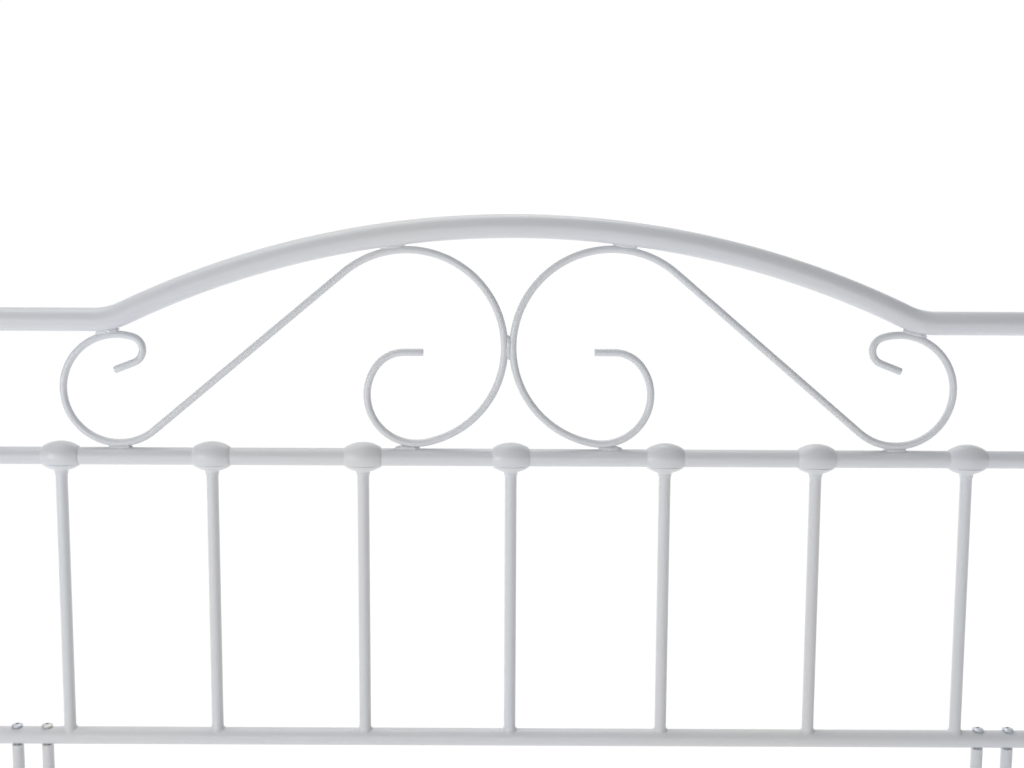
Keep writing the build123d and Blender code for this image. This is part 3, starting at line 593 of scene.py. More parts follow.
def crisp_edges(bm, angle=radians(40)):
    return [e for e in bm.edges if len(e.link_faces) == 2 and e.calc_face_angle(0.0) > angle]


def add_copies(bm, source, places=(Matrix.Identity(4),)):
    """Adds a mesh once for each placing matrix."""
    mesh = bpy.data.meshes.new("copy")
    source.to_mesh(mesh)
    source.free()
    for place in places:
        before = len(bm.verts)
        bm.from_mesh(mesh)
        bm.verts.ensure_lookup_table()
        bmesh.ops.transform(bm, matrix=place, verts=bm.verts[before:])
    bpy.data.meshes.remove(mesh)


def repeated(source, places):
    """A mesh that holds another once for each placing matrix."""
    bm = bmesh.new()
    add_copies(bm, source, places)
    return bm


def add_object(name, data):
    made = bpy.data.objects.new(name, data)
    bpy.context.scene.collection.objects.link(made)
    return made


def cut_out(bm, cutter):
    """Takes one closed shape out of another."""
    shapes = []
    for label, source in (("body", bm), ("cutter", cutter)):
        bmesh.ops.recalc_face_normals(source, faces=source.faces)
        mesh = bpy.data.meshes.new(label)
        source.to_mesh(mesh)
        shapes.append(add_object(label, mesh))
    body, tool = shapes
    modifier = body.modifiers.new("recess", "BOOLEAN")
    modifier.object, modifier.operation, modifier.solver = tool, "DIFFERENCE", "EXACT"
    result = body.evaluated_get(bpy.context.evaluated_depsgraph_get()).to_mesh()
    bm.clear()
    bm.from_mesh(result)
    cutter.free()
    for shape in shapes:
        mesh = shape.data
        bpy.data.objects.remove(shape)
        bpy.data.meshes.remove(mesh)


def make_piece(bm, name, nodes, finish="white_powder_coat", body=FRAME_BODY, matrix=None, sharp=SOFT_FORMS):
    """Turns a bmesh into a finished piece that rides on a body and stands for its CAD nodes."""
    if matrix is not None:
        bmesh.ops.transform(bm, matrix=matrix, verts=bm.verts)
    bmesh.ops.remove_doubles(bm, verts=bm.verts, dist=SAME_POINT)
    bmesh.ops.recalc_face_normals(bm, faces=bm.faces)
    for face in bm.faces:
        face.smooth = True
    mesh = bpy.data.meshes.new(name)
    bm.to_mesh(mesh)
    bm.free()
    mesh.set_sharp_from_angle(angle=radians(sharp))
    mesh.materials.append(FINISHES[finish])
    piece = add_object(name, mesh)
    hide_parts(*nodes)
    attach(piece, body)


def to_back():
    """Carries the drawing plane to the back panel."""
    return at(0, BACK_Y, 0)


def to_arm(side):
    """Carries the drawing plane to an arm, with +X to the rear."""
    return at(side * POST_X, 0, 0) @ about("Z", pi / 2)


# ---- Rails and spindles ------------------------------------------------------------------------------------
def rail_saddles(reach, welded=True):
    """The two posts that a rail ends on, to which it is welded or bolted."""
    return [Saddle(0, -side * reach, POST_RADIUS, side, welded) for side in (1, -1)]


def straight_rail(tubes, reach, height, welded=True):
    bm = bmesh.new()
    inset = POST_RADIUS + 2 * tubes.weld_reach
    start = (-reach + inset, height)
    saddles = rail_saddles(reach, welded)
    hollow_tube(bm, start, 0.0, [2 * (reach - inset)], RAIL_RADIUS, tubes.rail_wall, saddles, tubes)
    return bm


def arch_shape(tubes):
    """The arch's radius, how far from the middle its end bends are centred, and the angle that each turns."""
    radius = (tubes.arch_half**2 + ARCH_RISE**2) / (2 * ARCH_RISE)
    reach = radius + tubes.arch_bend
    foot = sqrt(ARCH_RISE * (2 * reach - ARCH_RISE))
    return radius, foot, asin(foot / reach)


def arch_rail(tubes):
    """The back's top rail: straight, bend, arch, bend, straight."""
    radius, foot, bend = arch_shape(tubes)
    inset = POST_RADIUS + 2 * tubes.weld_reach
    straight = POST_X - inset - foot
    moves = [straight, (tubes.arch_bend, bend), (radius, -2 * bend), (tubes.arch_bend, bend), straight]
    bm = bmesh.new()
    start = (-POST_X + inset, BACK_TOP)
    hollow_tube(bm, start, 0.0, moves, TOP_RADIUS, tubes.top_wall, rail_saddles(POST_X), tubes, 40)
    return bm


def arm_top_rail(tubes):
    """An arm's top rail: level, bend, slope, bend, level."""
    rise = ARM_REAR_TOP - ARM_FRONT_TOP
    slope = atan2(rise, 2 * tubes.arm_slope_half)
    tangent = tubes.arm_bend * sin(slope) / (1 + cos(slope))
    inset = POST_RADIUS + 2 * tubes.weld_reach
    level = POST_Y - inset - tubes.arm_slope_half - tangent
    sloping = hypot(rise, 2 * tubes.arm_slope_half) - 2 * tangent
    moves = [level, (tubes.arm_bend, slope), sloping, (tubes.arm_bend, -slope), level]
    bm = bmesh.new()
    start = (-POST_Y + inset, ARM_FRONT_TOP)
    saddles = rail_saddles(POST_Y, False)
    hollow_tube(bm, start, 0.0, moves, TOP_RADIUS, tubes.top_wall, saddles, tubes, 40)
    return bm


def spindle(bm, tubes, x, low_rail, high_rail):
    inset = RAIL_RADIUS + 2 * tubes.weld_reach
    saddles = Saddle(2, low_rail, RAIL_RADIUS, 1), Saddle(2, high_rail, RAIL_RADIUS, -1)
    rise = high_rail - low_rail - 2 * inset
    hollow_tube(
        bm, (x, low_rail + inset), pi / 2, [rise], SPINDLE_RADIUS, tubes.spindle_wall, saddles, tubes, 28
    )


class DAYBED_OT_back_rails(bpy.types.Operator):
    """Bends the arched top rail and lays the two straight rails of the back"""

    bl_idname = "daybed.back_rails"
    bl_label = "Back rails"

    def execute(self, context):
        tubes = context.scene.daybed_tubes
        make_piece(arch_rail(tubes), "back_top_tube", ["back_top_rail"], matrix=to_back())
        for level, height in (("middle", BACK_MID), ("lower", BACK_LOW)):
            bm = straight_rail(tubes, POST_X, height)
            make_piece(bm, f"back_{level}_tube", [f"back_{level}_rail"], matrix=to_back())
        return {"FINISHED"}


class DAYBED_OT_back_spindles(bpy.types.Operator):
    """Stands the spindles of the back between its lower and middle rails"""

    bl_idname = "daybed.back_spindles"
    bl_label = "Back spindles"

    def execute(self, context):
        tubes = context.scene.daybed_tubes
        for node in BACK_SPINDLES:
            bm = bmesh.new()
            spindle(bm, tubes, centre(node).x, BACK_LOW, BACK_MID)
            name = node.replace("spindle", "spindle_tube")
            make_piece(bm, name, [node], matrix=to_back())
        return {"FINISHED"}


class DAYBED_OT_arm_tubes(bpy.types.Operator):
    """Makes the rails and spindles of both arms"""

    bl_idname = "daybed.arm_tubes"
    bl_label = "Arm rails and spindles"

    def execute(self, context):
        tubes = context.scene.daybed_tubes
        for side_name, side in SIDES.items():
            arm, place = f"{side_name}_arm", to_arm(side)
            make_piece(arm_top_rail(tubes), f"{arm}_top_tube", [f"{arm}_top_rail"], matrix=place)
            for level, height in (("middle", ARM_MID), ("lower", ARM_LOW)):
                bm = straight_rail(tubes, POST_Y, height, False)
                make_piece(bm, f"{arm}_{level}_tube", [f"{arm}_{level}_rail"], matrix=place)
            bm = bmesh.new()
            for along in arm_spindle_places():
                spindle(bm, tubes, along, ARM_LOW, ARM_MID)
            make_piece(bm, f"{arm}_spindle_tubes", [f"{arm}_spindles"], matrix=place)
        return {"FINISHED"}


def arm_spindle_places():
    """Five spindles, evenly spaced, whose outermost are the ends of the node's box."""
    outermost = high("left_arm_spindles").y - SPINDLE_RADIUS
    return [outermost * share / 2 for share in (-2, -1, 0, 1, 2)]


# ---- Scrolls -----------------------------------------------------------------------------------------------
def on_circle(middle, radius, angle):
    return middle[0] + radius * cos(angle), middle[1] + radius * sin(angle)


def scroll_rod(scrolls, big, big_radius, end, end_radius):
    """A rod bent into two loops that a crossing tangent joins, each rolled in to a short straight tip."""
    distance = hypot(big[0] - end[0], big[1] - end[1])
    slope = atan2(big[1] - end[1], big[0] - end[0]) + asin((big_radius + end_radius) / distance)
    inner_radius, eye_radius = scrolls.inner_share * big_radius, scrolls.eye_share * big_radius
    curl_radius = scrolls.curl_share * end_radius
    crossing = sqrt(distance**2 - (big_radius + end_radius) ** 2)
    inner = on_circle(big, big_radius - inner_radius, scrolls.inner_from)
    eye = on_circle(inner, inner_radius - eye_radius, scrolls.eye_from)
    eye_tip = scrolls.eye_tip * big_radius
    tip = on_circle(eye, eye_radius, pi / 2)
    bm = bmesh.new()
    rod = Trace(bm, (tip[0] + eye_tip, tip[1]), pi, ROD_RADIUS, 24)
    moves = [
        eye_tip,
        (eye_radius, scrolls.eye_from + 3 * pi / 2),
        (inner_radius, scrolls.inner_from - scrolls.eye_from),
        (big_radius, slope + pi / 2 - scrolls.inner_from),
        crossing,
        (end_radius, scrolls.curl_from - slope - 3 * pi / 2),
        (curl_radius, scrolls.curl_to - scrolls.curl_from),
        scrolls.curl_tip * end_radius,
    ]
    follow(rod, moves)
    for cut in (rod.first, rod.verts):
        close_end(bm, cut, SCROLL_END)
    return bm


def weld_bead(bm, place, lean, seed):
    """A short lumpy run of weld under the paint."""
    verts = bmesh.ops.create_uvsphere(bm, u_segments=28, v_segments=20, radius=1.0)["verts"]
    for vert in verts:
        lump = noise.noise(Vector((vert.co.x * 3.2 + seed, vert.co.y * 1.6, vert.co.z * 1.6)))
        puddles = BEAD_PUDDLES * cos(vert.co.x * 13.0 + seed)
        vert.co *= 1 + BEAD_LUMPS * lump
        vert.co.y *= 1 + puddles
        vert.co.z *= 1 + puddles
    shape = at(place[0], 0, place[1]) @ about("Y", -lean)
    shape = shape @ Matrix.Diagonal((*BEAD, 1.0))
    bmesh.ops.transform(bm, matrix=shape, verts=verts)


def back_loops(scrolls, side_name):
    """Centres and radii of a back scroll's loops, drawn as on the left."""
    big_radius, end_radius = getattr(scrolls, f"{side_name}_big"), getattr(scrolls, f"{side_name}_end")
    middle = SIDES[side_name] * scrolls.meeting
    lift = BACK_MID + RAIL_RADIUS + ROD_RADIUS + scrolls.weld_gap
    big = (middle - big_radius - ROD_RADIUS - scrolls.weld_gap / 2, lift + big_radius)
    end = (middle - getattr(scrolls, f"{side_name}_end_x"), lift + end_radius)
    return big, big_radius, end, end_radius


def arm_loops(scrolls):
    """Centres and radii of an arm's loops, which fill the heights between its rails."""
    room = ARM_REAR_TOP - ARM_MID - TOP_RADIUS - RAIL_RADIUS - 2 * (2 * ROD_RADIUS + scrolls.weld_gap)
    big_radius = room / 2
    end_radius = big_radius - (ARM_REAR_TOP - ARM_FRONT_TOP) / 2
    lift = ARM_MID + RAIL_RADIUS + ROD_RADIUS + scrolls.weld_gap
    big, end = (scrolls.arm_big_y, lift + big_radius), (-scrolls.arm_end_y, lift + end_radius)
    return big, big_radius, end, end_radius


class DAYBED_OT_scrolls(bpy.types.Operator):
    """Bends the four scrolls, two in the back and one in each arm"""

    bl_idname = "daybed.scrolls"
    bl_label = "Scrolls"

    def execute(self, context):
        scrolls = context.scene.daybed_scrolls
        for side_name, side in SIDES.items():
            bm = scroll_rod(scrolls, *back_loops(scrolls, side_name))
            place = to_back() @ Matrix.Diagonal((-side, 1, 1, 1))
            node = f"back_scroll_{side_name}"
            make_piece(bm, f"{node}_rod", [node], matrix=place)
            bm = scroll_rod(scrolls, *arm_loops(scrolls))
            node = f"{side_name}_arm_scroll"
            make_piece(bm, f"{node}_rod", [node], matrix=to_arm(side))
        return {"FINISHED"}


class DAYBED_OT_scroll_welds(bpy.types.Operator):
    """Lays a bead of weld wherever a scroll touches a rail or the other scroll"""

    bl_idname = "daybed.scroll_welds"
    bl_label = "Scroll welds"

    def execute(self, context):
        scrolls, tubes = context.scene.daybed_scrolls, context.scene.daybed_tubes
        crevice = RAIL_RADIUS + scrolls.weld_gap / 2
        arch_radius, foot, _ = arch_shape(tubes)
        arch_middle = (0.0, BACK_TOP + ARCH_RISE - arch_radius)
        bend_middle = (-foot, BACK_TOP + tubes.arch_bend)
        for side_name, side in SIDES.items():
            big, _, end, end_radius = back_loops(scrolls, side_name)
            lean = atan2(-big[0], big[1] - arch_middle[1])
            aim = atan2(bend_middle[1] - end[1], bend_middle[0] - end[0])
            joints = [
                ((big[0], BACK_MID + crevice), 0.0),
                ((end[0], BACK_MID + crevice), 0.0),
                (on_circle(arch_middle, arch_radius - TOP_RADIUS, pi / 2 + lean), lean),
                (on_circle(end, end_radius + ROD_RADIUS, aim), aim - pi / 2),
            ]
            bm = bmesh.new()
            for number, (place, turn) in enumerate(joints):
                weld_bead(bm, place, turn, seed=number * 3.7 + side)
            mirror = Matrix.Diagonal((-side, 1, 1, 1))
            make_piece(bm, f"back_{side_name}_welds", ["scroll_welds"], matrix=to_back() @ mirror)
            arm_big, _, arm_end, _ = arm_loops(scrolls)
            bm = bmesh.new()
            for number, (along, top) in enumerate(((arm_big[0], ARM_REAR_TOP), (arm_end[0], ARM_FRONT_TOP))):
                weld_bead(bm, (along, ARM_MID + crevice), 0.0, seed=number + 9.1)
                weld_bead(bm, (along, top - TOP_RADIUS - scrolls.weld_gap / 2), 0.0, seed=number + 14.3)
            make_piece(bm, f"{side_name}_arm_welds", ["scroll_welds"], matrix=to_arm(side))
        bm = bmesh.new()
        weld_bead(bm, (-scrolls.meeting, big[1]), pi / 2, seed=21.0)
        make_piece(bm, "back_middle_weld", ["scroll_welds"], matrix=to_back())
        return {"FINISHED"}


# ---- Knuckles ----------------------------------------------------------------------------------------------
def knuckle(knuckles):
    """A cast barrel round a rail along X, and under it the bowl and neck that hold a spindle."""
    half = knuckles.barrel_length / 2
    swell = knuckles.crown - knuckles.rim
    tilt = asin(2 * half * swell / (half**2 + swell**2))
    bore = RAIL_RADIUS - 0.2 * MM
    soft = 0.9 * MM
    bm = bmesh.new()
    barrel = follow(Trace(bm, (-half, bore), pi / 2), [knuckles.rim - soft - bore, (soft, tilt - pi / 2)])
    crown_arc = (-barrel.place.x / sin(tilt), -2 * tilt, 24)
    follow(barrel, [crown_arc, (soft, tilt - pi / 2), knuckles.rim - soft - bore])
    bmesh.ops.contextual_create(bm, geom=[barrel.verts[0], barrel.first[0]])
    spun(bm, axis=(1, 0, 0), steps=56)

    bowl = bmesh.new()
    wall = SPINDLE_RADIUS - 0.1 * MM
    lip, drop = knuckles.lip, knuckles.lip_drop
    outline(
        bowl,
        [
            (wall, -drop + 1.7 * MM),
            (lip - 0.7 * MM, -drop + 1.7 * MM, 0.6 * MM),
            (lip, -drop, 0.9 * MM),
            (0.84 * lip, -drop - 0.36 * (knuckles.bowl_drop - drop), 6.0 * MM),
            (SPINDLE_RADIUS + 1.0 * MM, -knuckles.bowl_drop, 2.4 * MM),
            (SPINDLE_RADIUS + 0.5 * MM, -knuckles.neck_drop, 0.3 * MM),
            (wall, -knuckles.neck_drop),
        ],
        True,
    )
    spun(bowl, steps=72)
    stretch = knuckles.lip_reach / lip - 1
    for vert in bowl.verts:
        out = (hypot(vert.co.x, vert.co.y) - SPINDLE_RADIUS) / (lip - SPINDLE_RADIUS)
        vert.co.x *= 1 + stretch * max(0.0, out) ** 1.3
    add_copies(bm, bowl)
    return bm


class DAYBED_OT_knuckles(bpy.types.Operator):
    """Casts a knuckle over the top of every spindle"""

    bl_idname = "daybed.knuckles"
    bl_label = "Spindle knuckles"

    def execute(self, context):
        knuckles = context.scene.daybed_knuckles
        rows = {"back": (to_back(), [centre(node).x for node in BACK_SPINDLES], BACK_MID)}
        for side_name, side in SIDES.items():
            rows[f"{side_name}_arm"] = (to_arm(side), arm_spindle_places(), ARM_MID)
        for row, (place, alongs, height) in rows.items():
            bm = repeated(knuckle(knuckles), [at(along, 0, height) for along in alongs])
            make_piece(bm, f"{row}_knuckles", ["spindle_knuckles"], matrix=place)
        return {"FINISHED"}


# ---- Posts, legs and feet ----------------------------------------------------------------------------------
def outline(bm, corners, closed=False):
    """Straight sides between corners (x, z, softness), each corner rounded by its softness."""
    spots = [Vector((x, 0, z)) for x, z, *_ in corners]
    softs = [corner[2] if len(corner) > 2 else 0.0 for corner in corners]
    if closed:
        seam = (spots[-1] + spots[0]) / 2
        spots, softs = [seam, *spots, seam], [0.0, *softs, 0.0]
    legs = [after - before for before, after in zip(spots, spots[1:])]
    headings = [atan2(leg.z, leg.x) for leg in legs]
    trace = Trace(bm, (spots[0].x, spots[0].z), headings[0])
    used = 0.0
    for number, leg in enumerate(legs):
        trace.heading = headings[number]
        bend, soft = 0.0, 0.0
        if number + 1 < len(legs):
            bend = (headings[number + 1] - headings[number] + pi) % (2 * pi) - pi
            soft = softs[number + 1]
        cut = soft * tan(abs(bend) / 2)
        trace.run(leg.length - used - cut)
        if soft:
            trace.turn(soft, bend, 5)
        used = cut
    bmesh.ops.remove_doubles(bm, verts=bm.verts, dist=0.0005 * MM)
    return trace


def turned(corners, closed=False, steps=64):
    """A shape turned from an outline of (radius, height, softness)."""
    bm = bmesh.new()
    outline(bm, corners, closed)
    spun(bm, steps=steps)
    return bm


def pipe(radius, wall, bottom, top, soft=0.3 * MM):
    inner = radius - wall
    corners = [(inner, bottom, soft), (radius, bottom, soft), (radius, top, soft), (inner, top, soft)]
    return turned(corners, True)


def rounded_face(width, depth, corner):
    """A flat face on the XY plane with round corners."""
    bm = bmesh.new()
    bmesh.ops.create_grid(bm, x_segments=1, y_segments=1, size=0.5)
    bmesh.ops.scale(bm, vec=(width, depth, 1), verts=bm.verts)
    bmesh.ops.bevel(
        bm, geom=list(bm.verts), offset=corner, segments=8, profile=0.5, affect="VERTICES", material=-1
    )
    return bm


def raised(bm, faces, height):
    """Pulls faces up into a solid."""
    made = bmesh.ops.extrude_face_region(bm, geom=faces)
    verts = verts_in(made["geom"])
    bmesh.ops.translate(bm, vec=(0, 0, height), verts=verts)


def box_bar(width, depth, corner, wall, long):
    """A bar of box section along Z, open at both ends."""
    bm = rounded_face(width, depth, corner)
    middle = list(bm.faces)
    inset = bmesh.ops.inset_region(bm, faces=middle, thickness=wall, use_boundary=True, use_even_offset=True)
    ring = inset["faces"]
    bmesh.ops.delete(bm, geom=middle, context="FACES_ONLY")
    raised(bm, ring, long)
    return bm


def slab(width, depth, height, corner, soft):
    bm = rounded_face(width, depth, corner)
    raised(bm, list(bm.faces), height)
    bevelled(bm, crisp_edges(bm), soft)
    return bm


class DAYBED_OT_posts(bpy.types.Operator):
    """Stands the four corner posts"""

    bl_idname = "daybed.posts"
    bl_label = "Corner posts"

    def execute(self, context):
        wall = context.scene.daybed_tubes.post_wall
        for corner in CORNERS:
            node = f"{corner}_post"
            bm = pipe(POST_RADIUS, wall, low(node).z, high(node).z, 0.4 * MM)
            place = over(node)
            make_piece(bm, f"{corner}_post_tube", [node], matrix=place)
        return {"FINISHED"}


class DAYBED_OT_finials(bpy.types.Operator):
    """Turns the ball finials that plug the tops of the posts"""

    bl_idname = "daybed.finials"
    bl_label = "Finials"

    def execute(self, context):
        feet = context.scene.daybed_feet
        bore = POST_RADIUS - context.scene.daybed_tubes.post_wall
        neck, ball, rise = feet.finial_neck, feet.finial_ball, feet.finial_rise
        foot_angle = -acos(neck / ball)
        bm = bmesh.new()
        trace = outline(
            bm,
            [
                (0.0, -feet.finial_plug),
                (bore, -feet.finial_plug, 1 * MM),
                (bore, 0.0),
                (POST_RADIUS, 0.0, 0.5 * MM),
                (POST_RADIUS, feet.finial_flange, 1.2 * MM),
                (neck + 2 * MM, 1.6 * feet.finial_flange, 1.5 * MM),
                (neck, 2 * feet.finial_flange, 1 * MM),
                (neck, rise + ball * sin(foot_angle)),
            ],
        )
        trace.heading = foot_angle + pi / 2
        trace.turn(ball, pi / 2 - foot_angle, 36)
        spun(bm, steps=72)
        places = []
        for corner in CORNERS:
            node = f"{corner}_post"
            places.append(over(node, high(node).z))
        make_piece(repeated(bm, places), "post_finial_balls", ["post_finials"], "white_plastic")
        return {"FINISHED"}


def threaded_rod(bm, radius, depth, pitch, bottom, top, steps=40):
    """A real screw thread: a zigzag that climbs one pitch in each turn round the Z axis."""
    zigzag = Trace(bm, (radius - depth, bottom), 0.0)
    flank = hypot(depth, pitch / 2)
    for _ in range(int((top - bottom - pitch) / pitch)):
        zigzag.heading = atan2(pitch / 2, depth)
        zigzag.run(flank)
        zigzag.heading = atan2(pitch / 2, -depth)
        zigzag.run(flank)
    verts = list(bm.verts)
    bmesh.ops.spin(
        bm,
        geom=verts + edges_among(verts),
        cent=(0, 0, 0),
        axis=(0, 0, 1),
        dvec=(0, 0, pitch / steps),
        angle=2 * pi,
        steps=steps,
    )
    bmesh.ops.remove_doubles(bm, verts=bm.verts, dist=0.01 * MM)
    bmesh.ops.holes_fill(bm, edges=[edge for edge in bm.edges if edge.is_boundary], sides=0)


THREAD_DEPTH = 0.55 * MM
CORNER_CUT = 0.5 * MM  # how far the corners of a hexagon are turned off


def hexagon(across, height):
    """A hexagon standing on the XY plane with its corners turned off."""
    bm = bmesh.new()
    bmesh.ops.create_circle(bm, cap_ends=True, radius=across / 2 / cos(pi / 6), segments=6)
    raised(bm, list(bm.faces), height)
    bevelled(bm, crisp_edges(bm, radians(80)), CORNER_CUT, 2)
    return bm


class DAYBED_OT_feet(bpy.types.Operator):
    """Makes the screw-in levelling feet: pads, threaded stems with hexagons, and the plugs that hold them"""

    bl_idname = "daybed.feet"
    bl_label = "Levelling feet"

    def execute(self, context):
        feet = context.scene.daybed_feet
        plugs = []
        for corner in CORNERS:
            pad, stem = f"{corner}_foot_pad", f"{corner}_foot_stem"
            place = over(pad)
            plugs.append(place)
            outer, top = size(pad).x / 2, high(pad).z
            bore = feet.thread + FIT
            bm = turned(
                [
                    (0.0, 0.0),
                    (0.8 * outer, 0.0, 0.4 * MM),
                    (0.84 * outer, 0.6 * MM, 0.3 * MM),
                    (outer, 0.6 * MM, 0.8 * MM),
                    (outer, top - 3 * MM, 1.0 * MM),
                    (outer - 3 * MM, top, 1.0 * MM),
                    (bore + 1.6 * MM, top, 0.3 * MM),
                    (bore, top - 1.0 * MM),
                    (bore, feet.pad_floor),
                    (0.0, feet.pad_floor),
                ]
            )
            make_piece(bm, f"{corner}_pad_disc", [pad], "black_nylon", f"{corner}_pad", place)
            bm = hexagon(feet.stem_hex, feet.stem_hex_height)
            bmesh.ops.translate(bm, vec=(0, 0, feet.stem_hex_low), verts=bm.verts)
            screw = bmesh.new()
            threaded_rod(screw, feet.thread, THREAD_DEPTH, feet.thread_pitch, low(stem).z, high(stem).z)
            add_copies(bm, screw)
            name = f"{corner}_stem_screw"
            make_piece(bm, name, [stem], "bright_zinc", f"{corner}_stem", place, sharp=CRISP_FORMS)
        bottom, top = low("foot_inserts").z, high("foot_inserts").z
        outer = POST_RADIUS - context.scene.daybed_tubes.post_wall
        plug = pipe(outer, outer - feet.thread - FIT, bottom, top, 0.6 * MM)
        bm = repeated(plug, plugs)
        make_piece(bm, "foot_plugs", ["foot_inserts"], "black_nylon")
        return {"FINISHED"}


def leg_places():
    """X of each support leg's foot, left then right."""
    return [centre(f"support_leg_{side}").x for side in SIDES]


class DAYBED_OT_support_legs(bpy.types.Operator):
    """Makes the pairs of leg tubes under the back, with their foot plates, ties and glides"""

    bl_idname = "daybed.support_legs"
    bl_label = "Support legs"

    def execute(self, context):
        legs, tubes, feet = context.scene.daybed_legs, context.scene.daybed_tubes, context.scene.daybed_feet
        for side_name, x in zip(SIDES, leg_places()):
            node = f"support_leg_{side_name}"
            bottom, top = low(node).z, high(node).z
            floor = bottom + legs.plate
            outer, bore = SPINDLE_RADIUS, SPINDLE_RADIUS - tubes.spindle_wall
            flare = tubes.weld_spread
            tube = turned(
                [
                    (bore, floor),
                    (outer + flare, floor),
                    (outer + 0.25 * flare, floor + 0.45 * tubes.weld_reach, 1.5 * MM),
                    (outer, floor + tubes.weld_reach, 2 * MM),
                    (outer, top, 0.3 * MM),
                    (bore, top, 0.1 * MM),
                ],
                True,
                40,
            )
            plug = pipe(bore, bore - 3 * MM, top - 14 * MM, top - 0.2 * MM, 0.3 * MM)
            add_copies(tube, plug)
            bm = bmesh.new()
            pair = [at(x + s * legs.spread / 2, POST_Y, 0) for s in (-1, 1)]
            add_copies(bm, tube, pair)
            width = legs.spread + 2 * SPINDLE_RADIUS + 2 * legs.plate
            plate = slab(width, 4 * SPINDLE_RADIUS, legs.plate, SPINDLE_RADIUS, 0.5 * MM)
            add_copies(bm, plate, [at(x, POST_Y, bottom)])
            tie_long = legs.spread - 1.4 * SPINDLE_RADIUS
            tie = slab(tie_long, legs.tie_height, legs.tie_thick, 0.6 * MM, 0.4 * MM)
            upright = at(x, legs.tie_face, ARM_LOW) @ about("X", pi / 2)
            add_copies(bm, tie, [upright])
            make_piece(bm, f"{side_name}_leg_pair", [node])
        glides = [(x, POST_Y, 4 * MM, 12 * MM) for x in leg_places()]
        middle = size("centre_leg").x / 2 - tubes.post_wall
        glides.append((0.0, 0.0, middle, high("leg_glides").z - POST_FOOT))
        outer = feet.glide
        bm = bmesh.new()
        for x, y, peg, rise in glides:
            foot = turned(
                [
                    (0.0, 0.0),
                    (outer, 0.0, 2 * MM),
                    (outer, 0.62 * POST_FOOT, 0.5 * MM),
                    (outer - 0.8 * MM, 0.68 * POST_FOOT, 0.5 * MM),
                    (outer - 0.8 * MM, POST_FOOT, 0.8 * MM),
                    (peg, POST_FOOT),
                    (peg, POST_FOOT + rise, 0.5 * MM),
                    (0.0, POST_FOOT + rise),
                ]
            )
            add_copies(bm, foot, [at(x, y, 0)])
        make_piece(bm, "leg_glide_feet", ["leg_glides"], "black_nylon")
        return {"FINISHED"}


# ---- Mattress deck -----------------------------------------------------------------------------------------
def angle_bar(deck, long):
    """An angle along Y with mitred ends: its outer face at X = 0 and its shelf towards +X."""
    height, depth, thick = size("deck_front_angle").z, deck.angle_depth, deck.angle_thick
    bm = bmesh.new()
    outline(
        bm,
        [
            (0.0, 0.0, 1.2 * MM),
            (depth, 0.0, 0.5 * MM),
            (depth, thick, 1.3 * MM),
            (thick, thick, 0.9 * MM),
            (thick, height, 1.3 * MM),
            (0.0, height, 0.5 * MM),
        ],
        True,
    )
    bmesh.ops.contextual_create(bm, geom=list(bm.edges))
    made = bmesh.ops.extrude_face_region(bm, geom=list(bm.faces))
    far = verts_in(made["geom"])
    near = [vert for vert in bm.verts if vert not in set(far)]
    for verts, side in ((near, -1), (far, 1)):
        for vert in verts:
            vert.co.y = side * (long / 2 - vert.co.x)
    return bm


class DAYBED_OT_deck_frame(bpy.types.Operator):
    """Makes the four mitred angles round the mattress deck"""

    bl_idname = "daybed.deck_frame"
    bl_label = "Deck frame"

    def execute(self, context):
        deck = context.scene.daybed_deck
        turns = {"front": 90, "rear": -90, "left": 0, "right": 180}
        for name, degrees_round in turns.items():
            node = f"deck_{name}_angle"
            sideways = name in SIDES
            bm = angle_bar(deck, max(size(node).x, size(node).y))
            x, y = centre(node).x, centre(node).y
            if sideways:
                x = low(node).x if name == "left" else high(node).x
            else:
                y = low(node).y if name == "front" else high(node).y
            place = at(x, y, low(node).z) @ about("Z", radians(degrees_round))
            make_piece(bm, f"deck_{name}_angle_bar", [node], matrix=place)
        return {"FINISHED"}


def slat_places(deck):
    return [deck.slat_pitch * (number - (deck.slats - 1) / 2) for number in range(deck.slats)]


class DAYBED_OT_slats(bpy.types.Operator):
    """Lays the box-section slats and plugs their ends"""

    bl_idname = "daybed.slats"
    bl_label = "Slats"

    def execute(self, context):
        deck = context.scene.daybed_deck
        width, wall, corner = deck.slat_width, deck.slat_wall, deck.slat_corner
        long = size("deck_slats").y
        level = DECK_TOP - SLAT_THICK / 2
        slat = box_bar(width, SLAT_THICK, corner, wall, long)
        along = about("X", -pi / 2)
        places = slat_places(deck)
        bm = repeated(slat, [at(x, -long / 2, level) @ along for x in places])
        make_piece(bm, "slat_bars", ["deck_slats"])

        flange = (size("deck_slat_caps").y - long) / 2
        cap = slab(width, SLAT_THICK, flange, corner, 0.5 * MM)
        plug = rounded_face(width - 2 * wall, SLAT_THICK - 2 * wall, corner - wall)
        raised(plug, list(plug.faces), -deck.plug)
        add_copies(cap, plug)
        ends = []
        for x in places:
            for side in (-1, 1):
                outward = about("X", -side * pi / 2)
                ends.append(at(x, side * long / 2, level) @ outward)
        bm = repeated(cap, ends)
        make_piece(bm, "slat_end_caps", ["deck_slat_caps"], "black_nylon")
        return {"FINISHED"}


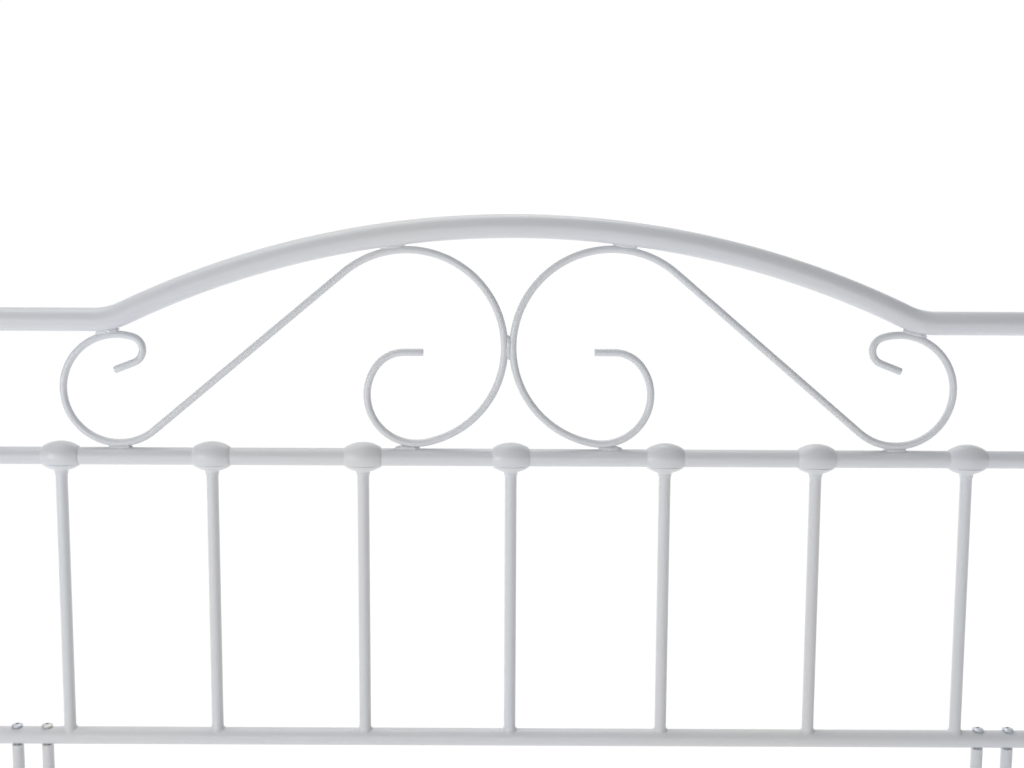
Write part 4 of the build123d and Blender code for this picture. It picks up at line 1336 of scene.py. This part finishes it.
class DAYBED_OT_deck_middle(bpy.types.Operator):
    """Makes the rail under the slats' middle and the leg that holds it up"""

    bl_idname = "daybed.deck_middle"
    bl_label = "Centre rail and leg"

    def execute(self, context):
        tubes = context.scene.daybed_tubes
        node = "deck_centre_rail"
        long = size(node).x
        bm = box_bar(size(node).z, size(node).y, 2 * MM, tubes.post_wall, long)
        place = at(-long / 2, 0, centre(node).z) @ about("Y", pi / 2)
        make_piece(bm, "deck_middle_rail", [node], matrix=place)
        outer, bottom, top = size("centre_leg").x / 2, low("centre_leg").z, high("centre_leg").z
        bore, reach = outer - tubes.post_wall, tubes.weld_reach
        bm = turned(
            [
                (bore, bottom, 0.3 * MM),
                (outer, bottom, 0.3 * MM),
                (outer, top - reach, 2 * MM),
                (outer + 0.5 * MM, top - 0.5 * reach, 1.5 * MM),
                (outer + 1.4 * MM, top),
                (bore, top),
            ],
            True,
        )
        make_piece(bm, "middle_leg_tube", ["centre_leg"])
        return {"FINISHED"}


# ---- Fasteners ---------------------------------------------------------------------------------------------
HEXAGON = (0.42, 0.35)  # recess's radius as a share of the head's, and its floor as a share of the rise
CROSS = (1.08, 0.27, 1.5)  # length and width of a slot as shares of the head's radius, and depth of the rise
SLOT_FOOT = (0.35, 0.7)  # how far a slot narrows to its foot, lengthwise and across
FIRST_TURN, NEXT_TURN = 25, 67  # degrees, so that no two leg screws end up turned alike


def screw_head(head, rise, shank, long, recess, brim=0.3):
    """A domed head that stands on the XY plane over its shank, with a hexagonal or a cross recess."""
    edge = brim * rise
    dome = rise - edge
    radius = (head**2 + dome**2) / (2 * dome)
    start = atan2(radius - dome, head)
    bm = bmesh.new()
    trace = outline(
        bm,
        [
            (0.0, -long),
            (shank, -long, 0.6 * MM),
            (shank, 0.0),
            (head, 0.0, 0.25 * MM),
            (head, edge),
        ],
    )
    trace.heading = start + pi / 2
    trace.turn(radius, pi / 2 - start, 12)
    spun(bm, steps=40)
    if recess == "hexagon":
        cutter = bmesh.new()
        bmesh.ops.create_circle(cutter, cap_ends=True, radius=HEXAGON[0] * head, segments=6)
        raised(cutter, list(cutter.faces), 2 * rise)
        bmesh.ops.translate(cutter, vec=(0, 0, HEXAGON[1] * rise), verts=cutter.verts)
        cut_out(bm, cutter)
        return bm
    for spread in (0, pi / 2):
        cutter = bmesh.new()
        bmesh.ops.create_cube(cutter, size=1.0)
        for vert in cutter.verts:
            if vert.co.z < 0:
                vert.co.x *= SLOT_FOOT[0]
                vert.co.y *= SLOT_FOOT[1]
        fit = at(0, 0, rise) @ about("Z", spread)
        fit = fit @ Matrix.Diagonal((CROSS[0] * head, CROSS[1] * head, CROSS[2] * rise, 1.0))
        bmesh.ops.transform(cutter, matrix=fit, verts=cutter.verts)
        cut_out(bm, cutter)
    return bm


def nut(across, height, bore):
    bm = hexagon(across, height)
    cutter = bmesh.new()
    bmesh.ops.create_cone(
        cutter, cap_ends=True, segments=32, radius1=bore, radius2=bore, depth=3 * height
    )
    cut_out(bm, cutter)
    return bm


class DAYBED_OT_fasteners(bpy.types.Operator):
    """Makes the bolts, screws and nuts that hold the bed together"""

    bl_idname = "daybed.fasteners"
    bl_label = "Bolts, screws and nuts"

    def execute(self, context):
        scene = context.scene
        bits, deck, legs = scene.daybed_fasteners, scene.daybed_deck, scene.daybed_legs
        bolts, out = [], high("arm_bolts").y - bits.m8_rise
        for side in SIDES.values():
            for end in (-1, 1):
                lay = about("X", -end * pi / 2)
                bolts += [at(side * POST_X, end * out, z) @ lay for z in (ARM_LOW, ARM_MID)]
        head = screw_head(bits.m8_head, bits.m8_rise, bits.m8, bits.arm_bolt, "hexagon")
        bm = repeated(head, bolts)
        make_piece(bm, "arm_bolt_set", ["arm_bolts"], "bright_zinc", sharp=CRISP_FORMS)

        bolts, nuts, out = [], [], high("deck_bolts").x - bits.m8_rise
        nut_place = high("deck_nuts").x
        for side in SIDES.values():
            for end in (-1, 1):
                lay = about("Y", side * pi / 2)
                y = end * bits.deck_bolt_y
                bolts.append(at(side * out, y, ARM_LOW) @ lay)
                nuts.append(at(side * (nut_place - bits.nut_height), y, ARM_LOW) @ lay)
        head = screw_head(bits.m8_head, bits.m8_rise, bits.m8, bits.deck_bolt, "hexagon")
        bm = repeated(head, bolts)
        make_piece(bm, "deck_bolt_set", ["deck_bolts"], "bright_zinc", sharp=CRISP_FORMS)
        bm = repeated(nut(bits.nut_flats, bits.nut_height, bits.m8 + FIT), nuts)
        make_piece(bm, "deck_nut_set", ["deck_nuts"], "bright_zinc", sharp=CRISP_FORMS)

        screws = []
        under = about("X", pi)
        shelf = low("deck_front_angle").z
        for x in slat_places(deck):
            screws += [at(x, s * bits.slat_screw_y, shelf) @ under for s in (-1, 1)]
        for x in leg_places():
            lay = about("X", -pi / 2)
            screws.append(at(x, legs.tie_face, ARM_LOW) @ lay)
        head = screw_head(bits.m5_head, bits.m5_rise, bits.m5, bits.deck_screw, "cross", 0.35)
        bm = repeated(head, screws)
        make_piece(bm, "deck_screw_set", ["deck_screws"], "bright_zinc", sharp=CRISP_FORMS)

        rise = high("support_screws").z - BACK_LOW - RAIL_RADIUS
        long = size("support_screws").z - rise
        places = []
        for number, x in enumerate(x + s * legs.spread / 2 for x in leg_places() for s in (-1, 1)):
            place = at(x, POST_Y, BACK_LOW + RAIL_RADIUS)
            places.append(place @ about("Z", radians(FIRST_TURN + NEXT_TURN * number)))
        bm = repeated(screw_head(bits.m6_head, rise, bits.m6, long, "cross", 0.6), places)
        make_piece(bm, "support_screw_set", ["support_screws"], "bright_zinc", sharp=CRISP_FORMS)
        return {"FINISHED"}


class DAYBED_OT_inner_parts(bpy.types.Operator):
    """Finishes the plugs inside the arm rails and the spacers behind the deck"""

    bl_idname = "daybed.inner_parts"
    bl_label = "Rail plugs and spacers"

    def execute(self, context):
        for node in ("arm_rail_inserts", "deck_spacers"):
            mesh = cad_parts[node].data
            mesh.materials.clear()
            mesh.materials.append(FINISHES["bright_zinc"])
        return {"FINISHED"}


# ---- Stage -------------------------------------------------------------------------------------------------
WHITE = (1.0, 1.0, 1.0, 1.0)
BACKDROP = 1.02  # strength at which the backdrop shows as pure white
SENSOR = 36.0  # millimetres
FLOOR_REACH = 60.0
FLOOR_POOL = (0.62, 1.0, 0.0)  # makes the grey pool under the bed longer than it is deep
HALF_LIT, ALL_LIT = (0.9, 0.5), (1.7, 1.0)  # distance from the bed's middle, and the floor's share of glow
LIGHTS = {  # place, aim, width, height, power, beam in degrees and tint
    "overhead_light": ((-0.4, 0.9, 2.8), (0.0, 0.3, 0.6), 2.4, 1.2, 18.0, 180, (1.0, 1.0, 1.0)),
    "left_light": ((-1.5, -0.9, 0.8), (0.0, 0.5, 0.5), 0.5, 0.9, 2.3, 80, (0.96, 0.98, 1.0)),
    "front_light": ((-0.2, -1.5, 0.55), (0.0, 0.5, 0.3), 2.4, 0.4, 0.8, 55, (1.0, 1.0, 1.0)),
}


def soft_light(name, place, aim, wide, tall, power, beam, tint):
    """A lit panel; a beam under 180 degrees keeps its light near the line of its aim."""
    data = bpy.data.lights.new(name, "AREA")
    data.shape, data.size, data.size_y, data.energy, data.color = "RECTANGLE", wide, tall, power, tint
    data.spread = radians(beam)
    light = add_object(name, data)
    light.location = place
    light.rotation_euler = (Vector(aim) - Vector(place)).to_track_quat("-Z", "Y").to_euler()
    light.visible_camera = False


def studio_sky(scene):
    """Seen as plain white; it lights the bed from above and behind, and less from the open front."""
    graph = Graph(scene.world)
    toward = graph.node("ShaderNodeTexCoord", output="Generated")
    split = graph.node("ShaderNodeSeparateXYZ", inputs={"Vector": toward})
    across, depth, height = (Signal(graph, split.socket.node.outputs[axis]) for axis in "XYZ")
    behind = graph.smooth(depth, 0.2, 0.75)
    above = graph.smooth(height, 0.55, 1.0)
    left = graph.smooth(across, 0.6, -0.9)
    room = 0.06 + 0.16 * left + 0.3 * above
    lighting = room + behind * (BACKDROP - room)
    seen = graph.node("ShaderNodeLightPath", output="Is Camera Ray")
    glow = graph.node("ShaderNodeBackground", inputs={"Color": WHITE, "Strength": lighting})
    plain = graph.node("ShaderNodeBackground", inputs={"Color": WHITE, "Strength": BACKDROP})
    blend = graph.node("ShaderNodeMixShader", inputs={0: seen, 1: glow, 2: plain})
    graph.node("ShaderNodeOutputWorld", inputs={"Surface": blend})


def studio_floor():
    """A matt white floor that runs out into pure white all round the bed."""
    material = bpy.data.materials.new("studio_floor_finish")
    graph = Graph(material)
    where = graph.place()
    pool = graph.stretched(where, FLOOR_POOL)
    away = graph.node("ShaderNodeVectorMath", {"operation": "LENGTH"}, {0: pool}, "Value")
    grain = graph.noise(where, 14.0, 3.0)
    paint = graph.mixed(grain, (0.8, 0.8, 0.8, 1.0), (0.82, 0.82, 0.825, 1.0))
    matt = graph.node("ShaderNodeBsdfPrincipled", inputs={"Base Color": paint, "Roughness": 0.85})
    glow = graph.node("ShaderNodeEmission", inputs={"Color": WHITE, "Strength": BACKDROP})
    lit = graph.smooth(away, HALF_LIT[0], ALL_LIT[0], HALF_LIT[1], ALL_LIT[1])
    blend = graph.node("ShaderNodeMixShader", inputs={0: lit, 1: matt, 2: glow})
    graph.node("ShaderNodeOutputMaterial", inputs={"Surface": blend})
    material.cycles.emission_sampling = "NONE"
    bm = bmesh.new()
    bmesh.ops.create_circle(bm, cap_ends=True, radius=FLOOR_REACH, segments=96)
    mesh = bpy.data.meshes.new("studio_floor")
    bm.to_mesh(mesh)
    bm.free()
    mesh.materials.append(material)
    floor = add_object("studio_floor", mesh)


class DAYBED_OT_stage(bpy.types.Operator):
    """Sets the camera, the floor and the soft studio light"""

    bl_idname = "daybed.stage"
    bl_label = "Studio"

    def execute(self, context):
        scene, stage = context.scene, context.scene.daybed_stage
        data = bpy.data.cameras.new("camera")
        data.lens, data.sensor_width = stage.lens, SENSOR
        camera = add_object("camera", data)
        place = at(-stage.aside, BACK_Y - stage.stand_off, BACK_MID + stage.above_rail)
        turns = about("Z", -stage.yaw) @ about("X", pi / 2 - stage.pitch)
        camera.matrix_world = place @ turns @ about("Z", stage.roll)
        scene.camera = camera
        scene.view_settings.view_transform = "Standard"
        if scene.world is None:
            scene.world = bpy.data.worlds.new("studio")
        studio_sky(scene)
        studio_floor()
        for name, making in LIGHTS.items():
            soft_light(name, *making)
        return {"FINISHED"}


# ---- Add-on ------------------------------------------------------------------------------------------------
class DAYBED_PT_panel(bpy.types.Panel):
    """Lists the daybed's sizes and its operators in the order in which they are used"""

    bl_idname = "DAYBED_PT_panel"
    bl_label = "Daybed"
    bl_space_type = "VIEW_3D"
    bl_region_type = "UI"
    bl_category = "Daybed"

    def draw(self, context):
        for key, group in SETTINGS.items():
            box = self.layout.box()
            for name in group.__annotations__:
                box.prop(getattr(context.scene, key), name)
        for operator in OPERATORS:
            self.layout.operator(operator.bl_idname)


SETTINGS = {
    "daybed_tubes": DaybedTubes,
    "daybed_scrolls": DaybedScrolls,
    "daybed_knuckles": DaybedKnuckles,
    "daybed_feet": DaybedFeet,
    "daybed_legs": DaybedLegs,
    "daybed_deck": DaybedDeck,
    "daybed_fasteners": DaybedFasteners,
    "daybed_stage": DaybedStage,
    "daybed_colours": DaybedColours,
}
OPERATORS = (
    DAYBED_OT_finishes,
    DAYBED_OT_back_rails,
    DAYBED_OT_back_spindles,
    DAYBED_OT_arm_tubes,
    DAYBED_OT_scrolls,
    DAYBED_OT_scroll_welds,
    DAYBED_OT_knuckles,
    DAYBED_OT_posts,
    DAYBED_OT_finials,
    DAYBED_OT_feet,
    DAYBED_OT_support_legs,
    DAYBED_OT_deck_frame,
    DAYBED_OT_slats,
    DAYBED_OT_deck_middle,
    DAYBED_OT_fasteners,
    DAYBED_OT_inner_parts,
    DAYBED_OT_stage,
)


def register():
    for kind in (*SETTINGS.values(), *OPERATORS, DAYBED_PT_panel):
        bpy.utils.register_class(kind)
    for key, group in SETTINGS.items():
        setattr(bpy.types.Scene, key, PointerProperty(type=group))


def unregister():
    for key in SETTINGS:
        delattr(bpy.types.Scene, key)
    for kind in (DAYBED_PT_panel, *reversed(OPERATORS), *reversed(SETTINGS.values())):
        bpy.utils.unregister_class(kind)


def main():
    register()
    for operator in OPERATORS:
        group, _, name = operator.bl_idname.partition(".")
        getattr(getattr(bpy.ops, group), name)()


if __name__ == "__main__":
    main()
